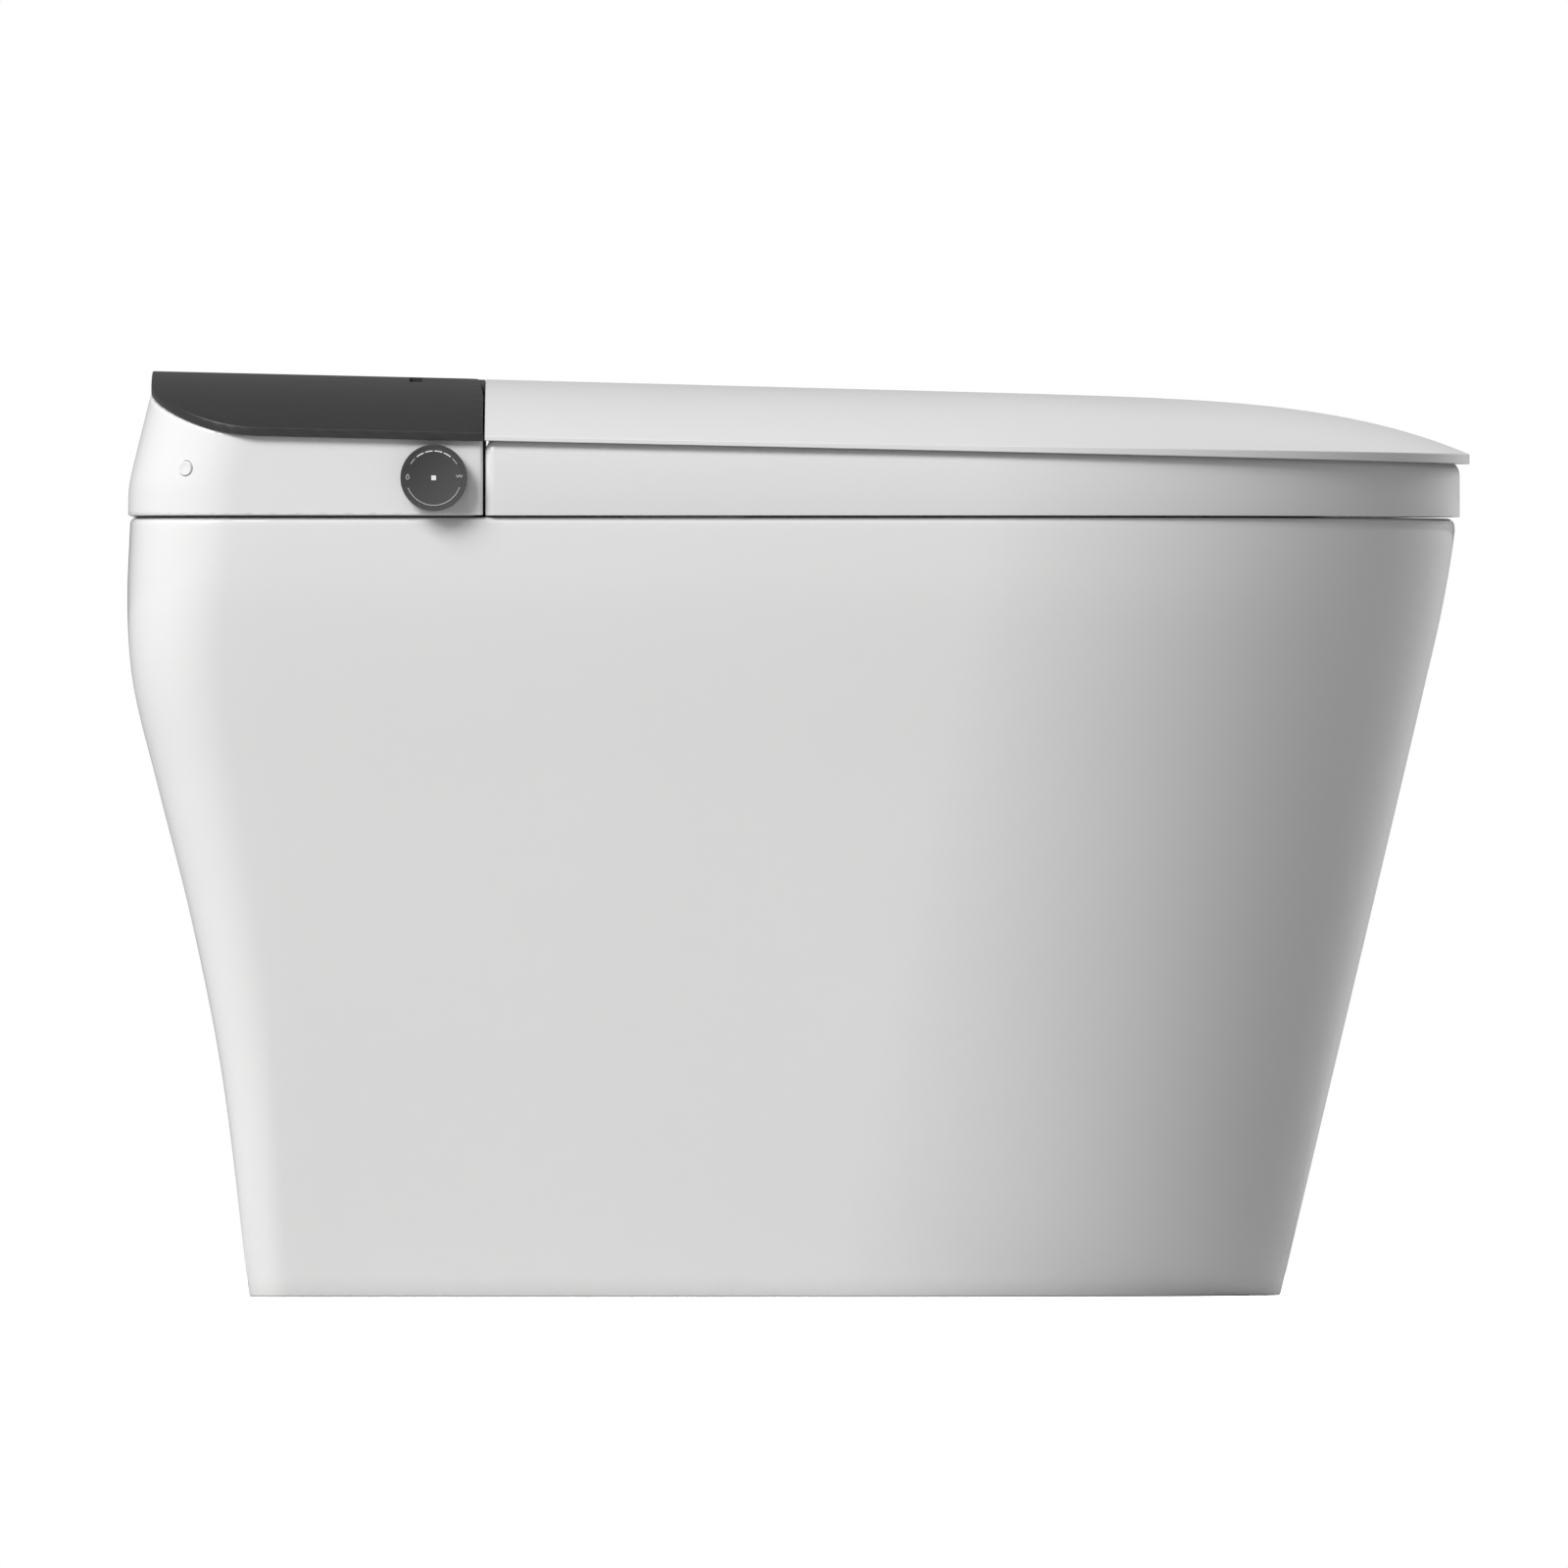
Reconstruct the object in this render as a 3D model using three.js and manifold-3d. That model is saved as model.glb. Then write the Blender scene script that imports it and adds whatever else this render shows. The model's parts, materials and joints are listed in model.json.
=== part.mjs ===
// A one-piece electric bidet toilet: a glazed ceramic pan, the electric unit on its rear deck, a heated seat and a lid.
// Millimetres. +X points to the front, +Y to the sitter's left and +Z up. The origin is on the floor, midway along the
// object, on its plane of symmetry. The control dial is on the sitter's right.
import * as THREE from "three";
import { mergeVertices } from "three/addons/utils/BufferGeometryUtils.js";
import Module from "manifold-3d";

const wasm = await Module();
wasm.setup();

// ---------------------------------------------------------------- driving dimensions
const LENGTH = 687; // rear of the pan to the tip of the lid
const HALF_WIDTH = 195; // lid and top cover, from the plane of symmetry
const DECK = 398; // height of the pan's rim and rear deck
const UNIT_LENGTH = 181.5; // electric unit, rear face to front face
const FIT = 0.3; // gap between two pieces that touch

// the pan
const CHINA = 10; // wall of the ceramic
const RIM_DEPTH = 16; // thickness of the rim and the deck
const PAN_SIDE_INSET = 5.5; // pan's side inside the lid's side, at the deck
const FOOT_HALF_WIDTH = 134;
const EDGE_ROUND = 3; // edge round of the rim
const TRAP_BORE = 26; // radius of the trapway's bore
const OUTLET_SETBACK = 193; // outlet centre, from the rear of the pan
const OUTLET_HEIGHT = 15; // the outlet's end above the floor

// the electric unit
const SKIN = 3; // wall of the unit's mouldings
const UNIT_SIDE_INSET = 3.5; // unit's and seat's side inside the lid's side
const REAR_CORNER = 55; // plan radius of the rear corners
const BACK_SLOPE = 0.25; // how far the back leans forward for each millimetre of height
const CROWN_HEIGHT = 75.5; // top of the cover above the deck, at the rear
const CROWN_FALL = 0.0237; // how much the crown falls for each millimetre to the front
const CROWN_DROP = 28.5; // from the crown's ridge to its edge at the side
const COVER_LIP = 4.5;
const COVER_LIP_WALL = 3;

// the hinge
const LID_GAP = 1;
const SEAT_GAP = 1.2;
const HINGE_SETBACK = 24; // hinge axis behind the lid's rear edge
const HINGE_ROOM = 1.075; // between the shaft's end and the cover's underside
const PIN_RADIUS = 3.4;
const PIN_CLEARANCE = 0.4;
const EAR_INNER = 66; // the lid's ears, from the plane of symmetry
const EAR_OUTER = 108;
const EAR_CHEEK = 6.5;
const EAR_SIDE_GAP = 1.5;
const EAR_RADIUS = 10.5;
const EAR_SWING = 14.9; // room behind the axis for the open ear
const SEAT_EAR_RADIUS = 6.4;
const POCKET_WALL = 2.5;
const DAMPER_RADIUS = 6.9;

// the lid and the seat
const LID_WALL = 3.5;
const LID_EDGE_REAR = 39; // the lid's lower edge above the deck
const LID_EDGE_FRONT = 28;
const LID_LIP_REAR = 2.2; // height of the upright edge band
const LID_LIP_FRONT = 5;
const LID_RIDGE_FALL = 0.0262;
const LID_BEND = 92; // where the straight sides end and the round front starts
const LID_OVERHANG = 5; // past the seat at the front
const SEAT_OVERHANG = 2.5; // past the pan at the front
const SEAT_WALL = 3.5;
const SEAT_EDGE_ROUND = 8;
const SEAT_RISE = 2; // the seat's top above the lid's lower edge
const SEAT_FOOT_GAP = 0.8; // the seat's skirt above the pan
const SEAT_HOLE_REAR = -52;
const SEAT_HOLE_FRONT = 266;
const SEAT_HOLE_HALF_WIDTH = 112;
const SEAT_HOLE_ROUND = 9;
const LINER_SCALE = 0.86;
const LINER_WALL = 2.5;
const LINER_LIFT = 8; // the liner's underside above the lid's lower edge

// the nozzle, along its own sloping axis
const NOZZLE_SLOPE = 12; // degrees
const NOZZLE_RADIUS = 7;
const NOZZLE_SIDE = -12; // Y of its axis
const NOZZLE_TIP = 22;
const NOZZLE_TRAVEL = 100;
const NOZZLE_PORT_AHEAD = 72; // port in front of the unit's front face
const NOZZLE_PORT_HEIGHT = 8.3; // port centre above the deck
const HOOD_HALF_WIDTH = 60;
const HOOD_WALL = 2.5;
const RACK_PITCH_RADIUS = 9; // pinion's pitch radius
const PINION_TEETH = 12;
const PINION_BACK = 111; // pinion behind the port
const TOOTH_THICKNESS = 2; // at the pitch line, for both the rack and the pinion
const PRESSURE_ANGLE = 20; // degrees

// the dial and the auxiliary button
const DIAL_RADIUS = 17;
const DIAL_FACE_RADIUS = 14.8;
const DIAL_SETBACK = 25; // dial centre behind the unit's front face
const DIAL_HEIGHT = 20; // dial centre above the deck
const DIAL_PROUD = 10.5; // dial's face beyond the unit's side
const DIAL_STANDOFF = 2.7; // gap behind the dial
const BUTTON_RADIUS = 3.75;
const BUTTON_HEIGHT = 25;
const BUTTON_BEARING = 30; // degrees from the side towards the back
const BUTTON_PROUD = 0.6;

// ---------------------------------------------------------------- places worked out from them
const REAR = -LENGTH / 2;
const UNIT_REAR = REAR + 0.5;
const UNIT_FRONT = UNIT_REAR + UNIT_LENGTH;
const UNIT_HALF = HALF_WIDTH - UNIT_SIDE_INSET;
const UNIT_FOOT = DECK + 1;
const LID_REAR = UNIT_FRONT + LID_GAP;
const LID_FRONT = -REAR;
const SEAT_REAR = UNIT_FRONT + SEAT_GAP;
const SEAT_FRONT = LID_FRONT - LID_OVERHANG;
const SEAT_FOOT = DECK + SEAT_FOOT_GAP;
const PAN_FRONT = SEAT_FRONT - SEAT_OVERHANG;
const PAN_HALF = HALF_WIDTH - PAN_SIDE_INSET;
const RIDGE_AT_LID_REAR = DECK + CROWN_HEIGHT - CROWN_FALL * (LID_REAR - UNIT_REAR - 12) - 0.2;
const POCKET_INNER = EAR_INNER - EAR_SIDE_GAP;
const POCKET_OUTER = EAR_OUTER + EAR_SIDE_GAP;
const SHAFT_END = POCKET_OUTER + 1.8;
const HINGE_DEPTH = CROWN_DROP * (SHAFT_END / HALF_WIDTH) ** 4 + LID_WALL + PIN_RADIUS + HINGE_ROOM;
const HINGE_X = LID_REAR - HINGE_SETBACK;
const HINGE_Z = RIDGE_AT_LID_REAR - HINGE_DEPTH;
const POCKET_REAR = HINGE_X - EAR_SWING;
// The hinge block's skin carries on behind the axis, as far as its corner swings clear of the pocket.
const EAR_TAIL = Math.sqrt(Math.max(0, (EAR_SWING - 0.6) ** 2 - (HINGE_DEPTH + 0.5) ** 2));
const TRAY_TOP = DECK + 3.4;
const COVER_REAR = UNIT_REAR + 12;
const COVER_FRONT = UNIT_FRONT - 0.2;
const PORT = new THREE.Vector3(UNIT_FRONT + NOZZLE_PORT_AHEAD, NOZZLE_SIDE, DECK + NOZZLE_PORT_HEIGHT);

const ROUND_STEPS = 24;
const CORNER_STEPS = 5;
const FRONT_STEPS = 22;

// ---------------------------------------------------------------- materials
const paint = (color, roughness, metalness = 0) => new THREE.MeshStandardMaterial({ color, roughness, metalness });
const CERAMIC = paint(0xf0f0ef, 0.12);
const WHITE = paint(0xeeeeed, 0.28);
const LINER_WHITE = paint(0xe6e6e4, 0.45);
const DARK = paint(0x3d3d3e, 0.4);
const DIAL_METAL = paint(0x4a4a4c, 0.32, 0.85);
const DIAL_GLASS = paint(0x3a3a3c, 0.15);
const RUBBER = paint(0xb9bab8, 0.8);
const BLACK = paint(0x1d1d1f, 0.55);
const GREY = paint(0x9a9c9e, 0.5);
const STEEL = paint(0xc4c6c8, 0.28, 1);
const BRASS = paint(0xb8954c, 0.35, 1);
const BOARD = paint(0x1f5a38, 0.6);
const LENS = paint(0xe8f2f6, 0.08);
const FOIL = paint(0xd5d6d8, 0.35, 1);

// ---------------------------------------------------------------- solids
// A closed three.js geometry as a solid for joining and cutting.
function solid(geometry) {
  const bare = geometry.index ? geometry.toNonIndexed() : geometry.clone();
  const plain = new THREE.BufferGeometry().setAttribute("position", bare.getAttribute("position"));
  const merged = mergeVertices(plain, 1e-3);
  const all = Array.from(merged.index.array);
  const kept = [];
  for (let i = 0; i < all.length; i += 3) {
    const [a, b, c] = all.slice(i, i + 3);
    if (a !== b && b !== c && c !== a) kept.push(a, b, c);
  }
  const build = (triangles) =>
    new wasm.Manifold(
      new wasm.Mesh({
        numProp: 3,
        vertProperties: merged.attributes.position.array,
        triVerts: new Uint32Array(triangles),
      }),
    );
  const made = build(kept);
  return made.volume() >= 0 ? made : build(kept.reverse());
}

const join = (first, ...rest) => rest.reduce((whole, piece) => whole.add(piece), first);
const cut = (first, ...rest) => rest.reduce((whole, piece) => whole.subtract(piece), first);

// A solid as a geometry, placed so that it can be shown as a mesh.
function geometryOf(made) {
  const mesh = made.getMesh();
  const positions = new Float32Array(mesh.numVert * 3);
  for (let i = 0; i < mesh.numVert; i++) {
    positions.set(mesh.vertProperties.subarray(i * mesh.numProp, i * mesh.numProp + 3), i * 3);
  }
  const geometry = new THREE.BufferGeometry()
    .setAttribute("position", new THREE.BufferAttribute(positions, 3))
    .setIndex(new THREE.BufferAttribute(mesh.triVerts, 1));
  geometry.computeVertexNormals();
  return geometry;
}

const box = (x0, x1, y0, y1, z0, z1) =>
  solid(new THREE.BoxGeometry(x1 - x0, y1 - y0, z1 - z0).translate((x0 + x1) / 2, (y0 + y1) / 2, (z0 + z1) / 2));

// A round bar from point a to point b.
function rod(radius, a, b, steps = ROUND_STEPS, endRadius = radius) {
  const from = new THREE.Vector3(...a);
  const to = new THREE.Vector3(...b);
  const along = to.clone().sub(from);
  const geometry = new THREE.CylinderGeometry(endRadius, radius, along.length(), steps);
  geometry.applyQuaternion(
    new THREE.Quaternion().setFromUnitVectors(new THREE.Vector3(0, 1, 0), along.clone().normalize()),
  );
  const middle = from.add(to).multiplyScalar(0.5);
  return solid(geometry.translate(middle.x, middle.y, middle.z));
}

const shapeOf = (points) => new THREE.Shape(points.map(([u, v]) => new THREE.Vector2(u, v)));

// A plan outline made into a plate between two heights.
const plate = (outline, z0, z1) =>
  solid(new THREE.ExtrudeGeometry(shapeOf(outline), { depth: z1 - z0, bevelEnabled: false }).translate(0, 0, z0));

// A side outline of [x, z] points made into a bar between two values of Y.
const bar = (outline, y0, y1) =>
  solid(
    new THREE.ExtrudeGeometry(shapeOf(outline), { depth: y1 - y0, bevelEnabled: false })
      .rotateX(Math.PI / 2)
      .translate(0, y1, 0),
  );

// A tube or a bar of round section along a smooth curve through the points.
function tube(points, radius, steps, sides) {
  const path = new THREE.CatmullRomCurve3(points.map((p) => new THREE.Vector3(...p)));
  const section = new THREE.Shape();
  section.absarc(0, 0, radius, 0, Math.PI * 2);
  return solid(
    new THREE.ExtrudeGeometry(section, { steps, bevelEnabled: false, extrudePath: path, curveSegments: sides }),
  );
}

// A solid skinned over closed rings of [x, y, z] points that all have the same count, with flat ends.
function loft(rings) {
  const count = rings[0].length;
  const corners = [];
  const face = (a, b, c) => corners.push(...a, ...b, ...c);
  for (let r = 0; r + 1 < rings.length; r++) {
    for (let i = 0; i < count; i++) {
      const n = (i + 1) % count;
      face(rings[r][i], rings[r][n], rings[r + 1][n]);
      face(rings[r][i], rings[r + 1][n], rings[r + 1][i]);
    }
  }
  const cap = (ring, up) => {
    const flat = ring.map(([x, y]) => new THREE.Vector2(x, y));
    for (const [a, b, c] of THREE.ShapeUtils.triangulateShape(flat, [])) {
      if (up) face(ring[a], ring[b], ring[c]);
      else face(ring[a], ring[c], ring[b]);
    }
  };
  cap(rings[0], false);
  cap(rings[rings.length - 1], true);
  return solid(new THREE.BufferGeometry().setAttribute("position", new THREE.Float32BufferAttribute(corners, 3)));
}

// Adds points of an ellipse's arc, in degrees, to an outline.
function arc(outline, x, y, radiusX, radiusY, from, to, steps) {
  for (let i = 0; i <= steps; i++) {
    const angle = THREE.MathUtils.degToRad(from + ((to - from) * i) / steps);
    outline.push([x + radiusX * Math.cos(angle), y + radiusY * Math.sin(angle)]);
  }
  return outline;
}

// A smooth curve through [at, value] points, as a function.
function through(points) {
  const slope = points.map((_, i) => {
    const [a, b] = [points[Math.max(i - 1, 0)], points[Math.min(i + 1, points.length - 1)]];
    return (b[1] - a[1]) / (b[0] - a[0]);
  });
  return (at) => {
    let i = 0;
    while (i < points.length - 2 && at > points[i + 1][0]) i++;
    const [x0, y0] = points[i];
    const [x1, y1] = points[i + 1];
    const step = x1 - x0;
    const t = (at - x0) / step;
    const [h00, h01] = [2 * t ** 3 - 3 * t ** 2 + 1, 3 * t ** 2 - 2 * t ** 3];
    const [h10, h11] = [t ** 3 - 2 * t ** 2 + t, t ** 3 - t ** 2];
    return y0 * h00 + y1 * h01 + step * (slope[i] * h10 + slope[i + 1] * h11);
  };
}

// ---------------------------------------------------------------- plan outlines
// Anticlockwise from the rear right: round rear corners, straight sides and a half-ellipse front.
function bodyOutline({ rear, front, half, corner, bend }) {
  const outline = arc([], rear + corner, corner - half, corner, corner, 180, 270, CORNER_STEPS);
  const start = rear + corner;
  const sides = [1 / 3, 2 / 3].map((share) => start + (bend - start) * share);
  for (const x of sides) outline.push([x, -half]);
  arc(outline, bend, 0, front - bend, half, -90, 90, FRONT_STEPS);
  for (const x of sides.slice().reverse()) outline.push([x, half]);
  return arc(outline, start, half - corner, corner, corner, 90, 180, CORNER_STEPS);
}

// A rectangle with round rear corners and small front corners.
function unitOutline({ rear, front, half, corner, frontCorner = 2 }) {
  const outline = arc([], rear + corner, corner - half, corner, corner, 180, 270, 12);
  arc(outline, front - frontCorner, frontCorner - half, frontCorner, frontCorner, -90, 0, 2);
  arc(outline, front - frontCorner, half - frontCorner, frontCorner, frontCorner, 0, 90, 2);
  return arc(outline, rear + corner, half - corner, corner, corner, 90, 180, 12);
}

const ellipse = (x, halfLength, halfWidth, steps) => {
  const outline = arc([], x, 0, halfLength, halfWidth, 0, 360, steps);
  outline.pop();
  return outline;
};
// Y of an ellipse's side at a given X.
const ellipseSide = (at, { x, halfLength, halfWidth }) =>
  halfWidth * Math.sqrt(1 - ((at - x) / halfLength) ** 2);
const atHeight = (outline, z) => outline.map(([x, y]) => [x, y, typeof z === "function" ? z(x, y) : z]);

// ---------------------------------------------------------------- surfaces of the crown
// Height of the top cover: a ridge that falls to the front, and a flat-topped arch across it.
const coverTop = (x, y) =>
  DECK + CROWN_HEIGHT - CROWN_FALL * (x - COVER_REAR) - CROWN_DROP * Math.abs(y / HALF_WIDTH) ** 4;
const alongLid = (x) => (x - LID_REAR) / (LID_FRONT - LID_REAR);
const lidEdge = (x) => DECK + LID_EDGE_REAR + (LID_EDGE_FRONT - LID_EDGE_REAR) * alongLid(x);
const lidLip = (x) => LID_LIP_REAR + (LID_LIP_FRONT - LID_LIP_REAR) * alongLid(x) ** 2;
const lidRidge = (x) => RIDGE_AT_LID_REAR - LID_RIDGE_FALL * (x - LID_REAR);
const seatTop = (x) => lidEdge(x) + SEAT_RISE;

// A crowned shell, open at one straight end. Each outline point has a foot on the ridge, and the surface runs from the
// foot (share 0) to the outline (share 1). `top` gives its height there, and `edge` the height of its lower edge.
function crownShell(outline, footOf, top, edge, wall, lipWall, shares) {
  const at = (point, share) => {
    const foot = footOf(point);
    return [foot + (point[0] - foot) * share, point[1] * share];
  };
  const innerShare = (point) => 1 - lipWall / Math.hypot(point[0] - footOf(point), point[1]);
  const profiles = outline.map((point) => {
    const over = shares.map((share) => [...at(point, share), top(point, share)]);
    const last = innerShare(point);
    const under = shares.map((share) => {
      const s = share * last;
      return [...at(point, s), top(point, s) - wall];
    });
    const [rim, lip] = [at(point, 1), at(point, last)];
    return { over: [...over, [...rim, edge(...rim)]], under: [...under, [...lip, edge(...lip)]] };
  });
  const corners = [];
  const quad = (a, b, c, d) => corners.push(...a, ...b, ...c, ...a, ...c, ...d);
  const rows = profiles[0].over.length;
  for (let i = 0; i + 1 < profiles.length; i++) {
    const [p, q] = [profiles[i], profiles[i + 1]];
    for (let j = 0; j + 1 < rows; j++) {
      quad(p.over[j], p.over[j + 1], q.over[j + 1], q.over[j]);
      quad(p.under[j], q.under[j], q.under[j + 1], p.under[j + 1]);
    }
    quad(p.over[rows - 1], p.under[rows - 1], q.under[rows - 1], q.over[rows - 1]);
  }
  const first = profiles[0];
  const final = profiles[profiles.length - 1];
  for (let j = 0; j + 1 < rows; j++) {
    quad(first.over[j], first.under[j], first.under[j + 1], first.over[j + 1]);
    quad(final.over[j], final.over[j + 1], final.under[j + 1], final.under[j]);
  }
  return solid(new THREE.BufferGeometry().setAttribute("position", new THREE.Float32BufferAttribute(corners, 3)));
}

// Everything above an arched surface of the unit, between two values of X.
function aboveArch(height, x0, x1) {
  const halfWidth = HALF_WIDTH + 15;
  const steps = 24;
  const section = (x) => {
    const ring = [];
    for (let i = 0; i <= steps; i++) {
      const y = halfWidth * ((2 * i) / steps - 1);
      ring.push([x, y, height(x, y)]);
    }
    const lid = DECK + 2 * CROWN_HEIGHT;
    ring.push([x, halfWidth, lid], [x, -halfWidth, lid]);
    return ring;
  };
  const [a, b] = [section(x0), section(x1)];
  const count = a.length;
  const corners = [];
  for (let i = 0; i < count; i++) {
    const n = (i + 1) % count;
    corners.push(...a[i], ...a[n], ...b[n], ...a[i], ...b[n], ...b[i]);
  }
  const flat = a.map(([, y, z]) => new THREE.Vector2(y, z));
  for (const [p, q, r] of THREE.ShapeUtils.triangulateShape(flat, [])) {
    corners.push(...a[p], ...a[r], ...a[q], ...b[p], ...b[q], ...b[r]);
  }
  return solid(new THREE.BufferGeometry().setAttribute("position", new THREE.Float32BufferAttribute(corners, 3)));
}

// ---------------------------------------------------------------- the scene graph
const toilet = new THREE.Group();

function piece(name, made, material, parent = toilet) {
  const mesh = new THREE.Mesh(geometryOf(made), material);
  mesh.name = name;
  parent.add(mesh);
  return mesh;
}

const SIDES = [
  ["right", -1],
  ["left", 1],
];

// ---------------------------------------------------------------- pan: one glazed casting, hollow under its skirt
// Rear and front of the pan against height: the back swells and then tucks in, and the front slopes in a straight line.
const panRear = through([
  [0, REAR + 62],
  [0.28 * DECK, REAR + 48.5],
  [0.48 * DECK, REAR + 33],
  [0.66 * DECK, REAR + 15],
  [0.785 * DECK, REAR + 3],
  [0.885 * DECK, REAR],
  [DECK, REAR + 1.5],
]);
const panFront = through([
  [0, PAN_FRONT - 89.5],
  [0.63 * DECK, PAN_FRONT - 30],
  [0.785 * DECK, PAN_FRONT - 15.5],
  [0.885 * DECK, PAN_FRONT - 6.5],
  [0.985 * DECK, PAN_FRONT],
  [DECK, PAN_FRONT - 1],
]);
const panHalf = through([
  [0, FOOT_HALF_WIDTH],
  [0.63 * DECK, FOOT_HALF_WIDTH + (PAN_HALF - FOOT_HALF_WIDTH) * 0.66],
  [0.885 * DECK, PAN_HALF - 3],
  [0.985 * DECK, PAN_HALF],
  [DECK, PAN_HALF],
]);
const panCorner = (z) => 21 + (REAR_CORNER - 21) * (z / DECK) ** 1.3;
const panBend = (z) => 15 + (LID_BEND - 15) * (z / DECK);

function panRing(z, inset, at = z) {
  const outline = bodyOutline({
    rear: panRear(at) + inset,
    front: panFront(at) - inset,
    half: panHalf(at) - inset,
    corner: Math.max(panCorner(at) - inset, 8),
    bend: panBend(at),
  });
  return atHeight(outline, z);
}

const BOWL_TOP = { x: 92, halfLength: 190, halfWidth: 127 };
const BOWL_FLARE = 5; // how much the bowl opens at the deck
const BOWL_MOUTH = {
  x: BOWL_TOP.x,
  halfLength: BOWL_TOP.halfLength + BOWL_FLARE,
  halfWidth: BOWL_TOP.halfWidth + BOWL_FLARE,
};
const SUMP = DECK - 280;
const bowlMiddle = through([
  [SUMP, -12],
  [SUMP + 42, 4],
  [SUMP + 142, 56],
  [DECK, BOWL_TOP.x],
]);
const bowlLength = through([
  [SUMP, 24],
  [SUMP + 42, 52],
  [SUMP + 142, 128],
  [DECK - 45, BOWL_TOP.halfLength - 6],
  [DECK, BOWL_TOP.halfLength],
]);
const bowlWidth = through([
  [SUMP, 22],
  [SUMP + 42, 44],
  [SUMP + 142, 88],
  [DECK - 45, BOWL_TOP.halfWidth - 5],
  [DECK, BOWL_TOP.halfWidth],
]);
const BOWL_STEPS = 30;
const bowlRing = (z, grow, at = z) =>
  atHeight(ellipse(bowlMiddle(at), bowlLength(at) + grow, bowlWidth(at) + grow, BOWL_STEPS), z);

const OUTLET_X = REAR + OUTLET_SETBACK;
const TRAP_PATH = [
  [8, 0, SUMP + 30],
  [-38, 0, SUMP + 14],
  [-76, 0, SUMP + 36],
  [-104, 0, SUMP + 82],
  [-134, 0, SUMP + 98],
  [OUTLET_X - 16, 0, SUMP + 66],
  [OUTLET_X - 4, 0, SUMP - 10],
  [OUTLET_X, 0, OUTLET_HEIGHT + 20],
];
const DECK_BOLT_X = UNIT_FRONT - 16;
const DECK_BOLT_Y = UNIT_HALF - 41.5;
const DECK_HOLE = 7.3;
const SPOUT_Z = DECK - 40;
const SPOUT_RADIUS = 15;

function makePan() {
  const skirtHeights = [0, 60, 120, 175, 222, 262, 300, 338, 370].map((z) => (z * DECK) / 398);
  const outer = loft([
    ...skirtHeights.map((z) => panRing(z, 0)),
    panRing(DECK - EDGE_ROUND, 0),
    panRing(DECK - 0.3 * EDGE_ROUND, 0.3 * EDGE_ROUND),
    panRing(DECK, EDGE_ROUND),
  ]);
  const hollow = loft([
    panRing(-1, CHINA, 0),
    ...skirtHeights.slice(1, 8).map((z) => panRing(z, CHINA)),
    panRing(DECK - RIM_DEPTH, CHINA),
  ]);
  const bowlHeights = [SUMP + 18, SUMP + 42, SUMP + 92, SUMP + 142, SUMP + 195, DECK - 45, DECK - 8];
  const bowl = loft([
    atHeight(ellipse(bowlMiddle(SUMP), 12, 11, BOWL_STEPS), SUMP - 4),
    bowlRing(SUMP + 4, 0),
    ...bowlHeights.map((z) => bowlRing(z, 0)),
    bowlRing(DECK, BOWL_FLARE),
    bowlRing(DECK + 2, BOWL_FLARE, DECK),
  ]);
  const bowlOutside = loft([
    bowlRing(SUMP - CHINA - 4, -4, SUMP),
    ...bowlHeights.slice(0, 6).map((z) => bowlRing(z, CHINA)),
    bowlRing(DECK - 4, CHINA),
  ]);
  const outletEnd = [OUTLET_X, 0, OUTLET_HEIGHT];
  const outletStart = [OUTLET_X, 0, OUTLET_HEIGHT + 25];
  const trapOutside = join(
    tube(TRAP_PATH, TRAP_BORE + CHINA, 15, 6),
    rod(TRAP_BORE + CHINA, outletEnd, outletStart, 14),
  );
  const trapBore = join(
    tube(TRAP_PATH, TRAP_BORE, 15, 6),
    rod(TRAP_BORE, [OUTLET_X, 0, OUTLET_HEIGHT - 1], outletStart, 14),
  );
  const well = box(UNIT_REAR + 22, UNIT_FRONT - 40, -124, 124, DECK - RIM_DEPTH - 1, DECK + 1);
  const spout = rod(SPOUT_RADIUS, [-60, 0, SPOUT_Z], [-150, 0, SPOUT_Z], 16);
  const bolts = SIDES.map(([, side]) =>
    rod(DECK_HOLE, [DECK_BOLT_X, side * DECK_BOLT_Y, DECK - 40], [DECK_BOLT_X, side * DECK_BOLT_Y, DECK + 1], 16),
  );
  const empty = cut(hollow, bowlOutside, trapOutside);
  return cut(outer, empty, bowl, trapBore, well, spout, ...bolts);
}
piece("pan", makePan(), CERAMIC);

// Rubber ring between the outlet and the floor flange.
piece(
  "outlet_seal",
  cut(
    rod(TRAP_BORE + CHINA + 8, [OUTLET_X, 0, 0.5], [OUTLET_X, 0, OUTLET_HEIGHT - FIT]),
    rod(TRAP_BORE + 1, [OUTLET_X, 0, -1], [OUTLET_X, 0, OUTLET_HEIGHT + 1]),
  ),
  BLACK,
);

// ---------------------------------------------------------------- flush parts in the pan's rear hollow
const FLUSH_X = UNIT_REAR + 78;
const FLUSH_Z = DECK - 70;
piece(
  "flush_valve",
  join(
    rod(22, [FLUSH_X, 0, FLUSH_Z - 26], [FLUSH_X, 0, FLUSH_Z + 30]),
    rod(13, [FLUSH_X, 0, FLUSH_Z + 28], [FLUSH_X, 0, FLUSH_Z + 52]),
    rod(12, [FLUSH_X, 0, FLUSH_Z], [FLUSH_X + 34, 0, FLUSH_Z], 16),
    rod(9, [FLUSH_X, 0, FLUSH_Z + 10], [FLUSH_X, 46, FLUSH_Z + 10], 16),
  ),
  GREY,
);
const SPOUT_BACK = BOWL_TOP.x - BOWL_TOP.halfLength - 18;
const HOSE_START = FLUSH_X + 34 + FIT;
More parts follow.
